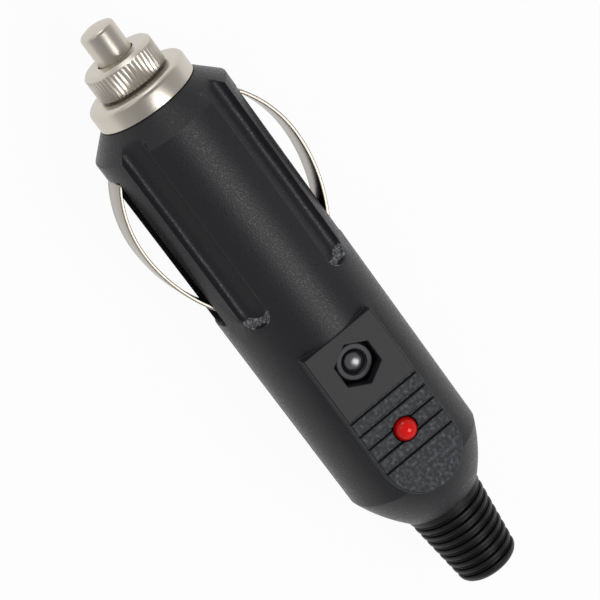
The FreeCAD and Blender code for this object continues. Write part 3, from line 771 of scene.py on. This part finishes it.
@dataclass
class SprungNose:
    """The bush, the screw cap and the tip, turned in brass and plated, and the spring behind the tip.

    Lengths are in millimetres.

    Attributes:
        bush_steps: How many faces go round the bush.
        flange_radius, flange_length: The flange that bears on the housing.
        flange_rounding, flange_back_rounding, mouth_rounding: Its front and rear edges and its bore's.
        neck_radius, neck_length, collar_radius, collar_length: The part held in the housing.
        bore_radius, floor_radius, floor_length: The bush's bore and the floor that stops the fuse.
        cap_radius, cap_length, cap_bevel: The cap's head.
        cap_hole_rounding, cap_face_rounding, cap_rim_rounding: Its edges, from the hole outwards.
        cap_hole_radius, cap_bore_radius, cap_lip: The way through the cap for the tip.
        knurl_count, knurl_depth, knurl_front: The straight knurl and where it starts.
        thread_crest, thread_root, thread_length, thread_pitch: The cap's screw thread.
        thread_width: The ridge's foot as a share of the pitch.
        thread_sink: How deep the ridge's foot is set into the shank.
        thread_steps: How many faces the thread has in a turn.
        tip_radius, tip_dome, tip_edge: The sprung tip.
        crown_depth, crown_width: Where its dome bends most, as shares of the dome and of the radius.
        crown_rounding: How far that bend is rounded.
        tip_wall, tip_bore: The tip's front wall and the hollow behind it for the spring.
        shoulder_radius, shoulder_length, shoulder_rounding: The shoulder that the cap's lip keeps in.
        spring_radius, spring_turns, wire_radius, wire_steps: The coil spring and its round wire.
        press: How far the tip goes in. Not used.
    """

    bush_steps: int = 128
    flange_radius: float = 7.34
    flange_length: float = 3.1
    flange_rounding: float = 0.8
    flange_back_rounding: float = 0.25
    mouth_rounding: float = 0.2
    neck_radius: float = 5.6
    neck_length: float = 1.5
    collar_radius: float = 6.6
    collar_length: float = 2.0
    bore_radius: float = 4.1
    floor_radius: float = 3.2
    floor_length: float = 0.6
    cap_radius: float = 5.13
    cap_length: float = 3.9
    cap_bevel: float = 0.45
    cap_hole_rounding: float = 0.15
    cap_face_rounding: float = 0.1
    cap_rim_rounding: float = 0.08
    cap_hole_radius: float = 2.7
    cap_bore_radius: float = 3.3
    cap_lip: float = 1.2
    knurl_count: int = 54
    knurl_depth: float = 0.2
    knurl_front: float = 0.5
    thread_crest: float = 3.95
    thread_root: float = 3.6
    thread_length: float = 5.6
    thread_pitch: float = 1.0
    thread_width: float = 0.8
    thread_sink: float = 0.1
    thread_steps: int = 48
    tip_radius: float = 2.55
    tip_dome: float = 0.7
    tip_edge: float = 0.35
    crown_depth: float = 0.3
    crown_width: float = 0.6
    crown_rounding: float = 0.6
    tip_wall: float = 2.2
    tip_bore: float = 1.95
    shoulder_radius: float = 3.1
    shoulder_length: float = 1.5
    shoulder_rounding: float = 0.1
    spring_radius: float = 1.5
    spring_turns: int = 6
    wire_radius: float = 0.22
    wire_steps: int = 10
    press: float = 3.0

    def build(self) -> list[bpy.types.Object]:
        """Builds and dresses the four pieces."""
        return [self.bush(), self.cap(), self.tip(), self.spring()]

    def bush(self) -> bpy.types.Object:
        """Turns the flanged bush.

        Returns:
            The dressed bush.
        """
        neck_end = self.flange_length + self.neck_length
        length = neck_end + self.collar_length
        corners = [
            Corner(0, self.bore_radius, self.mouth_rounding),
            Corner(0, self.flange_radius, self.flange_rounding),
            Corner(self.flange_length, self.flange_radius, self.flange_back_rounding),
            Corner(self.flange_length, self.neck_radius),
            Corner(neck_end, self.neck_radius),
            Corner(neck_end, self.collar_radius),
            Corner(length, self.collar_radius),
            Corner(length, self.floor_radius),
            Corner(length - self.floor_length, self.floor_radius),
            Corner(length - self.floor_length, self.bore_radius),
        ]
        bush = nose_lathe("threaded_bush", self.bush_steps).turn("bush_flange", corners)
        return hand_over(bush, TURNED_NICKEL, "housing", "threaded_bush")

    def cap(self) -> bpy.types.Object:
        """Turns the cap, pulls every second column of its rim in for the knurl and adds its thread.

        Returns:
            The dressed cap.
        """
        lathe = nose_lathe("knurled_cap", self.knurl_count * 2)
        end = self.cap_length + self.thread_length
        corners = [
            Corner(0, self.cap_hole_radius, self.cap_hole_rounding),
            Corner(0, self.cap_radius - self.cap_bevel, self.cap_face_rounding),
            Corner(self.cap_bevel, self.cap_radius, self.cap_rim_rounding),
            Corner(self.knurl_front, self.cap_radius),
            Corner(self.knurl_front + self.knurl_depth, self.cap_radius),
            Corner(self.cap_length, self.cap_radius),
            Corner(self.cap_length, self.thread_root),
            Corner(end, self.thread_root),
            Corner(end, self.cap_bore_radius),
            Corner(self.cap_lip, self.cap_bore_radius),
            Corner(self.cap_lip, self.cap_hole_radius),
        ]
        cap = lathe.turn("screw_cap", corners)
        self.knurl(cap, lathe)
        thread = self.thread(lathe)
        pick(cap)
        thread.select_set(True)
        bpy.ops.object.join()
        return hand_over(cap, TURNED_NICKEL, "cap", "knurled_cap")

    def knurl(self, cap: bpy.types.Object, lathe: Lathe) -> None:
        """Pulls every second column of the cap's rim inward.

        Args:
            cap: The turned cap.
            lathe: The lathe that it was turned on.
        """
        column = FULL_TURN / lathe.steps
        front = (self.knurl_front + self.knurl_depth / 2) * MM
        rim = (self.cap_radius - self.knurl_depth / 2) * MM

        def is_groove(point: Vector) -> bool:
            """Tells whether a point lies in a groove's column of the rim."""
            off = point - lathe.centre
            number = round(math.atan2(off.y, off.z) / column)
            inside = front < off.x < (self.cap_length + self.knurl_depth) * MM
            return inside and math.hypot(off.y, off.z) > rim and number % 2 == 1

        shrink = 1 - self.knurl_depth / self.cap_radius
        with editing(cap):
            select_points(cap, is_groove)
            bpy.ops.transform.resize(value=(1, shrink, shrink), center_override=lathe.centre)

    def thread(self, lathe: Lathe) -> bpy.types.Object:
        """Winds a ridge of triangular section round the cap's shank.

        Args:
            lathe: The lathe that the cap was turned on.

        Returns:
            The ridge, still an object of its own.
        """
        turns = math.floor(self.thread_length / self.thread_pitch) - 1
        half = self.thread_pitch * self.thread_width / 2
        start = self.cap_length + self.thread_pitch
        foot = self.thread_root - self.thread_sink
        section = [(start - half, foot), (start, self.thread_crest), (start + half, foot)]
        return replace(lathe, steps=self.thread_steps).wind("cap_thread", section, self.thread_pitch, turns)

    def spring(self) -> bpy.types.Object:
        """Winds the coil spring behind the tip, at its length in the frame.

        Returns:
            The dressed spring.
        """
        low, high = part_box("contact_spring")
        cap = nose_lathe("knurled_cap", self.thread_steps)
        lathe = replace(cap, centre=Vector((low.x, cap.centre.y, cap.centre.z)))
        length = (high.x - low.x) / MM
        wire = self.wire_radius
        section = [
            (wire + wire * math.cos(turn), self.spring_radius + wire * math.sin(turn))
            for turn in (FULL_TURN * step / self.wire_steps for step in range(self.wire_steps))
        ]
        pitch = (length - 2 * wire) / self.spring_turns
        coil = lathe.wind("coil_spring", section, pitch, self.spring_turns)
        hand_over(coil, SPRING_WIRE, "spring_stack", "contact_spring")
        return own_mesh(coil)

    def tip(self) -> bpy.types.Object:
        """Turns the hollow tip with its low dome and its shoulder.

        Returns:
            The dressed tip.
        """
        low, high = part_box("center_contact")
        length = (high.x - low.x) / MM
        crown = self.tip_dome * self.crown_depth
        corners = [
            Corner(0, 0),
            Corner(crown, self.tip_radius * self.crown_width, self.crown_rounding),
            Corner(self.tip_dome, self.tip_radius, self.tip_edge),
            Corner(length - self.shoulder_length, self.tip_radius),
            Corner(length - self.shoulder_length, self.shoulder_radius),
            Corner(length, self.shoulder_radius, self.shoulder_rounding),
            Corner(length, self.tip_bore, self.shoulder_rounding),
            Corner(self.tip_wall, self.tip_bore),
            Corner(self.tip_wall, 0),
        ]
        tip = nose_lathe("center_contact").turn("tip_contact", corners, closed=False)
        return hand_over(tip, TURNED_NICKEL, "tip", "center_contact")


@dataclass
class SideContacts:
    """The two bowed strips that press against the socket's wall.

    Lengths are in millimetres.

    Attributes:
        thickness: The strip's thickness.
        edge, edge_steps: The rounding of its rolled edges, and how many faces make it up.
        leg_setback, peak_setback: Where the leg and the bow's peak lie behind the foot's end.
        landing_setback: Where the bow comes down to the housing before the tail's end.
        leg_share: How much of the bow's height the leg takes.
        bend, foot_bend, tail_bend: The radii of the bends at the leg, the foot and the tail.
        bow_steps, bend_steps: How many faces make up the bow's halves and the bends.
    """

    thickness: float = 0.5
    edge: float = 0.12
    edge_steps: int = 3
    leg_setback: float = 1.2
    peak_setback: float = 10.85
    landing_setback: float = 1.6
    leg_share: float = 0.34
    bend: float = 0.9
    foot_bend: float = 0.25
    tail_bend: float = 0.8
    bow_steps: int = 28
    bend_steps: int = 8

    def build(self) -> list[bpy.types.Object]:
        """Builds the right strip, copies it for the left and dresses both.

        Returns:
            The right strip and the left one.
        """
        right = self.sweep_strip()
        pick(right)
        bpy.ops.object.duplicate()
        left = bpy.context.object
        left.name = f"{Side.LEFT.value}_strip"
        low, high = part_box("strain_relief")
        axis = Vector((0, (low.y + high.y) / 2, (low.z + high.z) / 2))
        bpy.ops.transform.rotate(value=HALF_TURN, orient_axis="X", center_override=axis)
        settle(left)
        # The strips' nickel has a darker colour as painted shade.
        return [
            hand_over(strip, SHADED_STRIP_NICKEL, f"{side.value}_contact", f"{side.value}_side_contact")
            for strip, side in ((right, Side.RIGHT), (left, Side.LEFT))
        ]

    def swing(self, centre: tuple[float, float], angle: float, way: int, steps: int) -> None:
        """Sweeps the selected section about an upright line.

        Args:
            centre: The line's X and Y in the scene, in metres.
            angle: How far the section goes, in radians.
            way: 1 against the clock as seen from above, and -1 with it.
            steps: How many faces the sweep has.
        """
        bpy.ops.mesh.spin(steps=steps, angle=angle, center=(*centre, 0), axis=(0, 0, -way))

    def draw_out(self, x: float, y: float) -> None:
        """Extrudes the selected section straight, by metres along X and Y."""
        bpy.ops.mesh.extrude_region_move(TRANSFORM_OT_translate={"value": (x, y, 0)})

    def sweep_strip(self) -> bpy.types.Object:
        """Sweeps the strip's rounded section from the peak of the bow to its tail and to its foot.

        Returns:
            The right strip.
        """
        low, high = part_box("right_side_contact")
        thick = self.thickness * MM
        ledge = low.y + thick
        drop = high.y - ledge
        leg = low.x + self.leg_setback * MM
        peak = low.x + self.peak_setback * MM
        run = high.x - self.landing_setback * MM - peak
        rise = drop * (1 - self.leg_share)
        front_curve = ((peak - leg) ** 2 + rise ** 2) / (2 * rise)
        rear_curve = (run ** 2 + drop ** 2) / (2 * drop)
        bend = self.bend * MM
        foot_bend = self.foot_bend * MM
        tail_bend = self.tail_bend * MM

        bpy.ops.object.select_all(action="DESELECT")
        bpy.ops.mesh.primitive_plane_add(
            size=1,
            location=(peak, high.y - thick / 2, (low.z + high.z) / 2),
            rotation=(0, RIGHT_ANGLE, 0),
        )
        strip = bpy.context.object
        strip.name = f"{Side.RIGHT.value}_strip"
        strip.scale = (high.z - low.z, thick, 1)
        settle(strip)
        with editing(strip):
            bpy.ops.mesh.select_all(action="SELECT")
            bpy.ops.mesh.bevel(offset=self.edge * MM, segments=self.edge_steps, affect="VERTICES")
            bpy.ops.mesh.select_all(action="SELECT")
            bpy.ops.mesh.delete(type="ONLY_FACE")

            bpy.ops.mesh.select_all(action="SELECT")
            fall = math.acos(1 - drop / rear_curve)
            hub = high.y - rear_curve + tail_bend
            self.swing((peak, hub), fall, -1, self.bow_steps)
            heel = (peak + rear_curve * math.sin(fall), hub + rear_curve * math.cos(fall))
            self.swing(heel, fall, 1, self.bend_steps)
            self.draw_out(self.landing_setback * MM, 0)

            select_points(strip, lambda point: abs(point.x - peak) < WELD)
            lean = math.asin((peak - leg - bend) / (front_curve - bend))
            hub = high.y - front_curve
            self.swing((peak, hub), lean, 1, self.bow_steps)
            inner = front_curve - bend
            knee = (peak - inner * math.sin(lean), hub + inner * math.cos(lean))
            self.swing(knee, RIGHT_ANGLE - lean, 1, self.bend_steps)
            self.draw_out(0, ledge + foot_bend - knee[1])
            self.swing((leg - foot_bend, ledge + foot_bend), RIGHT_ANGLE, -1, self.bend_steps)
            self.draw_out(low.x - leg + foot_bend, 0)

            for end in (low.x, high.x):
                select_points(strip, lambda point: abs(point.x - end) < NEAR)
                bpy.ops.mesh.edge_face_add()
            close_shell()
        return strip


@dataclass
class GripFittings:
    """The lamp, the nut and the screw in the grip pad.

    Lengths are in millimetres.

    Attributes:
        lamp_radius, lamp_flange_radius, lamp_flange: The lamp's lens and its flange.
        lamp_rounding: The flange's edges.
        lens_share, lens_steps: The lens's dome as a share of its radius, and how many faces it has.
        nut_corner, nut_face, nut_slope: The nut's corners and its chamfered face, at an angle in degrees.
        nut_rounding: The edge between the face and the chamfer.
        nut_hole, nut_sink: The nut's hole and the depth of its countersink.
        screw_radius, screw_crown, crown_height, head_radius, head_height: The pan-head screw.
        crown_rounding, head_rounding, seat_rounding: The edges of its head, from the top down.
        screw_dome, screw_flat, flat_drop: The screw's rounded end: its height, and where it flattens.
        dome_rounding, flat_rounding: The bends of the rounded end.
        recess_length, recess_width, recess_depth: The cross recess in its head.
        overshoot: How far cutting shapes reach past what they cut.
    """

    lamp_radius: float = 1.65
    lamp_flange_radius: float = 2.0
    lamp_flange: float = 1.0
    lamp_rounding: float = 0.1
    lens_share: float = 0.98
    lens_steps: int = 16
    nut_corner: float = 3.175
    nut_face: float = 2.45
    nut_slope: float = 30.0
    nut_rounding: float = 0.08
    nut_hole: float = 1.55
    nut_sink: float = 0.3
    screw_radius: float = 1.5
    screw_crown: float = 1.7
    crown_height: float = 1.0
    head_radius: float = 2.8
    head_height: float = 2.0
    crown_rounding: float = 0.4
    head_rounding: float = 0.3
    seat_rounding: float = 0.1
    screw_dome: float = 0.5
    screw_flat: float = 0.9
    flat_drop: float = 0.125
    dome_rounding: float = 0.2
    flat_rounding: float = 0.4
    recess_length: float = 3.0
    recess_width: float = 0.8
    recess_depth: float = 1.0
    overshoot: float = 0.5

    def build(self) -> list[bpy.types.Object]:
        """Builds and dresses the three fittings."""
        return [self.lamp(), self.nut(), self.screw()]

    def lamp(self) -> bpy.types.Object:
        """Turns the lamp's round-topped lens.

        Returns:
            The dressed lamp.
        """
        low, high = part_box("led_lamp")
        height = (high.z - low.z) / MM
        corners = [
            Corner(0, 0),
            Corner(0, self.lamp_flange_radius, self.lamp_rounding),
            Corner(self.lamp_flange, self.lamp_flange_radius, self.lamp_rounding),
            Corner(self.lamp_flange, self.lamp_radius),
            Corner(height, self.lamp_radius, self.lamp_radius * self.lens_share),
            Corner(height, 0),
        ]
        lathe = replace(upright_lathe("led_lamp"), rounding_steps=self.lens_steps)
        lens = lathe.turn("lamp_lens", corners, closed=False)
        return hand_over(lens, RED_EPOXY, "housing", "led_lamp")

    def nut(self) -> bpy.types.Object:
        """Shapes the nut from a six-sided bar, chamfers its face and drills it.

        Returns:
            The dressed nut.
        """
        low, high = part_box("clamp_nut")
        height = (high.z - low.z) / MM
        centre = (low + high) / 2
        lathe = upright_lathe("clamp_nut")
        bpy.ops.object.select_all(action="DESELECT")
        bpy.ops.mesh.primitive_cylinder_add(
            vertices=HEX_SIDES,
            radius=self.nut_corner * MM,
            depth=height * MM,
            location=centre,
            rotation=(0, 0, RIGHT_ANGLE),
        )
        nut = bpy.context.object
        nut.name = "hex_nut"
        settle(nut)
        wide = self.nut_corner + self.overshoot
        drop = (wide - self.nut_face) * math.tan(math.radians(self.nut_slope))
        chamfer = lathe.turn("chamfer", [
            Corner(-self.overshoot, 0),
            Corner(-self.overshoot, wide),
            Corner(height - drop, wide),
            Corner(height, self.nut_face, self.nut_rounding),
            Corner(height, 0),
        ], closed=False)
        carve(nut, chamfer, "INTERSECT")
        drill = lathe.turn("drill", [
            Corner(-self.overshoot, 0),
            Corner(-self.overshoot, self.nut_hole),
            Corner(height - self.nut_sink, self.nut_hole),
            Corner(height + self.overshoot, self.nut_hole + self.nut_sink + self.overshoot),
            Corner(height + self.overshoot, 0),
        ], closed=False)
        carve(nut, drill)
        return hand_over(nut, BLACK_OXIDE, "housing", "clamp_nut")

    def screw(self) -> bpy.types.Object:
        """Turns the screw with its rounded end and sinks a cross into its head.

        Returns:
            The dressed screw.
        """
        low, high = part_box("clamp_screw")
        height = (high.z - low.z) / MM
        corners = [
            Corner(0, 0),
            Corner(0, self.screw_crown, self.crown_rounding),
            Corner(self.crown_height, self.head_radius, self.head_rounding),
            Corner(self.head_height, self.head_radius, self.seat_rounding),
            Corner(self.head_height, self.screw_radius),
            Corner(height - self.screw_dome, self.screw_radius, self.dome_rounding),
            Corner(height - self.flat_drop, self.screw_flat, self.flat_rounding),
            Corner(height, 0),
        ]
        lathe = upright_lathe("clamp_screw")
        screw = lathe.turn("clamp_screw_turned", corners, closed=False)
        across = (self.recess_length, self.recess_width)
        for length, width in (across, across[::-1]):
            bpy.ops.object.select_all(action="DESELECT")
            bpy.ops.mesh.primitive_cube_add(
                size=MM, location=lathe.centre, scale=(length, width, self.recess_depth * 2)
            )
            blade = bpy.context.object
            settle(blade)
            carve(screw, blade)
        return hand_over(screw, BURNISHED_STEEL, "housing", "clamp_screw")


@dataclass
class StrainRelief:
    """The ribbed sleeve that the cord comes out of.

    Lengths are in millimetres.

    Attributes:
        bore, collar, neck, root, end: The sleeve's radii, from the inside out and from front to rear.
        collar_length, neck_length: How much of it is held in the housing.
        rib_start, rib_end: The plain lengths before the first groove and after the last pitch.
        rib_count, groove, groove_depth: The ring grooves.
        ridge_rounding, groove_rounding, end_rounding, mouth_rounding: The edges.
    """

    bore: float = 2.6
    collar: float = 6.4
    neck: float = 4.6
    root: float = 5.75
    end: float = 4.4
    collar_length: float = 2.0
    neck_length: float = 2.0
    rib_start: float = 0.9
    rib_end: float = 0.87
    rib_count: int = 8
    groove: float = 0.7
    groove_depth: float = 0.55
    ridge_rounding: float = 0.2
    groove_rounding: float = 0.15
    end_rounding: float = 1.5
    mouth_rounding: float = 0.25

    def build(self) -> list[bpy.types.Object]:
        """Turns and dresses the sleeve.

        Returns:
            The sleeve, alone in a list.
        """
        low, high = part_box("strain_relief")
        length = (high.x - low.x) / MM
        face = self.collar_length + self.neck_length
        reach = length - face
        slope = (self.root - self.end) / reach
        pitch = (reach - self.rib_start - self.rib_end) / self.rib_count
        corners = [
            Corner(0, self.bore),
            Corner(0, self.collar),
            Corner(self.collar_length, self.collar),
            Corner(self.collar_length, self.neck),
            Corner(face, self.neck),
            Corner(face, self.root),
        ]
        for number in range(self.rib_count):
            start = self.rib_start + number * pitch
            stop = start + self.groove
            top, low_top = self.root - slope * start, self.root - slope * stop
            corners += [
                Corner(face + start, top, self.ridge_rounding),
                Corner(face + start, top - self.groove_depth, self.groove_rounding),
                Corner(face + stop, low_top - self.groove_depth, self.groove_rounding),
                Corner(face + stop, low_top, self.ridge_rounding),
            ]
        corners.append(Corner(length, self.end, self.end_rounding))
        corners.append(Corner(length, self.bore, self.mouth_rounding))
        sleeve = nose_lathe("strain_relief").turn("ribbed_sleeve", corners)
        return [hand_over(sleeve, SOFT_PVC, "housing", "strain_relief")]


@dataclass(frozen=True)
class Softbox:
    """A rectangular lamp that faces the plug.

    Attributes:
        name: The lamp's name.
        place: Where it hangs, in millimetres.
        size: Its width and height, in millimetres.
        power: Its power in watts.
    """

    name: str
    place: tuple[float, float, float]
    size: tuple[float, float]
    power: float


@dataclass
class Studio:
    """The floor, the lights and the camera.

    Attributes:
        target: What the camera points at, in millimetres.
        distance: How far the camera is from it, in millimetres.
        azimuth, elevation, roll: The camera's angles about it, in degrees.
        lens: The camera's focal length on a 36 mm sensor, in millimetres.
        floor_size, floor_drop: The floor's width and how far it lies below the plug, in millimetres.
        paper: The floor's sRGB hex colour.
        glow: How much of the floor's white does not depend on the lamps. The rest keeps the shadow.
        wall_light, ceiling_light: How bright the room is round the sides and overhead.
        softboxes: The lamps.
    """

    target: tuple[float, float, float] = (-0.35, 0.45, 10.45)
    distance: float = 443.1
    azimuth: float = -157.5
    elevation: float = 68.55
    roll: float = 119.5
    lens: float = 199.3
    floor_size: float = 4000.0
    floor_drop: float = 0.05
    paper: str = "#f4f4f4"
    glow: float = 0.95
    wall_light: float = 0.6
    ceiling_light: float = 0.3
    softboxes: tuple[Softbox, ...] = (
        Softbox("key softbox", (230.0, 145.0, 560.0), (250.0, 360.0), 1.3),
        Softbox("fill softbox", (-420.0, -320.0, 330.0), (400.0, 300.0), 0.2),
        Softbox("front softbox", (-620.0, 80.0, 240.0), (300.0, 240.0), 0.5),
    )

    def build(self) -> None:
        """Sets the whole stage."""
        self.add_floor()
        self.add_world()
        for softbox in self.softboxes:
            self.hang(softbox)
        self.add_camera()
        bpy.context.scene.view_settings.view_transform = "Standard"

    def add_floor(self) -> None:
        """Lays a white floor that keeps the plug's shadow."""
        bpy.ops.mesh.primitive_plane_add(
            size=self.floor_size * MM, location=(0, 0, -self.floor_drop * MM)
        )
        floor = bpy.context.object
        floor.name = "floor"
        material = bpy.data.materials.new("white paper sweep")
        material.use_nodes = True
        tree = material.node_tree
        tree.nodes.clear()
        rays = add_node(tree, "ShaderNodeLightPath")
        seen = rays.outputs["Is Camera Ray"]
        for ray in ("Is Glossy Ray", "Is Transmission Ray"):
            either = add_node(
                tree, "ShaderNodeMath", {0: seen, 1: rays.outputs[ray]}, operation="MAXIMUM"
            )
            seen = either.outputs["Value"]
        share = add_node(tree, "ShaderNodeMath", {0: seen, 1: self.glow}, operation="MULTIPLY")
        paper = add_node(tree, "ShaderNodeBsdfDiffuse", {"Color": linear(self.paper)})
        glow = add_node(tree, "ShaderNodeEmission", {"Color": linear(WHITE), "Strength": 1.0})
        mix = add_node(
            tree,
            "ShaderNodeMixShader",
            {0: share.outputs["Value"], 1: paper.outputs["BSDF"], 2: glow.outputs["Emission"]},
        )
        add_node(tree, "ShaderNodeOutputMaterial", {"Surface": mix.outputs["Shader"]})
        floor.data.materials.append(material)

    def add_world(self) -> None:
        """Fills the room with plain light that is paler round the sides than overhead."""
        world = bpy.data.worlds.new("studio room")
        world.use_nodes = True
        tree = world.node_tree
        background = next(node for node in tree.nodes if node.type == "BACKGROUND")
        direction = add_node(tree, "ShaderNodeTexCoord")
        parts = add_node(tree, "ShaderNodeSeparateXYZ", {0: direction.outputs["Generated"]})
        light = add_node(
            tree,
            "ShaderNodeMapRange",
            {"Value": parts.outputs["Z"], "To Min": self.wall_light, "To Max": self.ceiling_light},
        )
        background.inputs["Color"].default_value = linear(WHITE)
        tree.links.new(light.outputs["Result"], background.inputs["Strength"])
        bpy.context.scene.world = world

    def hang(self, softbox: Softbox) -> None:
        """Hangs a softbox and points it at the plug.

        Args:
            softbox: The lamp to hang.
        """
        light = bpy.data.lights.new(softbox.name, "AREA")
        light.shape = "RECTANGLE"
        light.size, light.size_y = (side * MM for side in softbox.size)
        light.energy = softbox.power
        box = bpy.data.objects.new(softbox.name, light)
        bpy.context.collection.objects.link(box)
        box.location = Vector(softbox.place) * MM
        aim = Vector(self.target) - Vector(softbox.place)
        box.rotation_euler = aim.to_track_quat("-Z", "Y").to_euler()

    def add_camera(self) -> None:
        """Puts the camera where the photograph was taken from."""
        azimuth = math.radians(self.azimuth)
        elevation = math.radians(self.elevation)
        back = Vector((
            math.cos(elevation) * math.cos(azimuth),
            math.cos(elevation) * math.sin(azimuth),
            math.sin(elevation),
        ))
        data = bpy.data.cameras.new("camera")
        data.lens = self.lens
        camera = bpy.data.objects.new("camera", data)
        bpy.context.collection.objects.link(camera)
        camera.location = (Vector(self.target) + back * self.distance) * MM
        turn = Quaternion((0, 0, 1), math.radians(self.roll))
        camera.rotation_euler = ((-back).to_track_quat("-Z", "Y") @ turn).to_euler()
        bpy.context.scene.camera = camera


def dress_hidden_nodes() -> None:
    """Gives the CAD nodes that stay their finishes."""
    finishes = {
        "fuse_tube": FUSE_GLASS,
        "fuse_front_cap": TURNED_NICKEL,
        "fuse_rear_cap": TURNED_NICKEL,
        "fuse_wire": TINNED_COPPER,
        "fuse_terminal": STAMPED_BRASS,
        "led_anode_lead": TINNED_COPPER,
        "led_cathode_lead": TINNED_COPPER,
        "led_resistor": BEIGE_LACQUER,
    }
    for node, finish in finishes.items():
        frame["nodes"][node].data.materials[0] = finish.material()
        log.info("%s: %s", node, finish.name)


def main() -> None:
    """Builds the plug and its studio."""
    logging.basicConfig(level=logging.INFO, format="%(name)s: %(message)s")
    MouldedHousing().build()
    SprungNose().build()
    SideContacts().build()
    GripFittings().build()
    StrainRelief().build()
    dress_hidden_nodes()
    Studio().build()


if __name__ == "__main__":
    main()
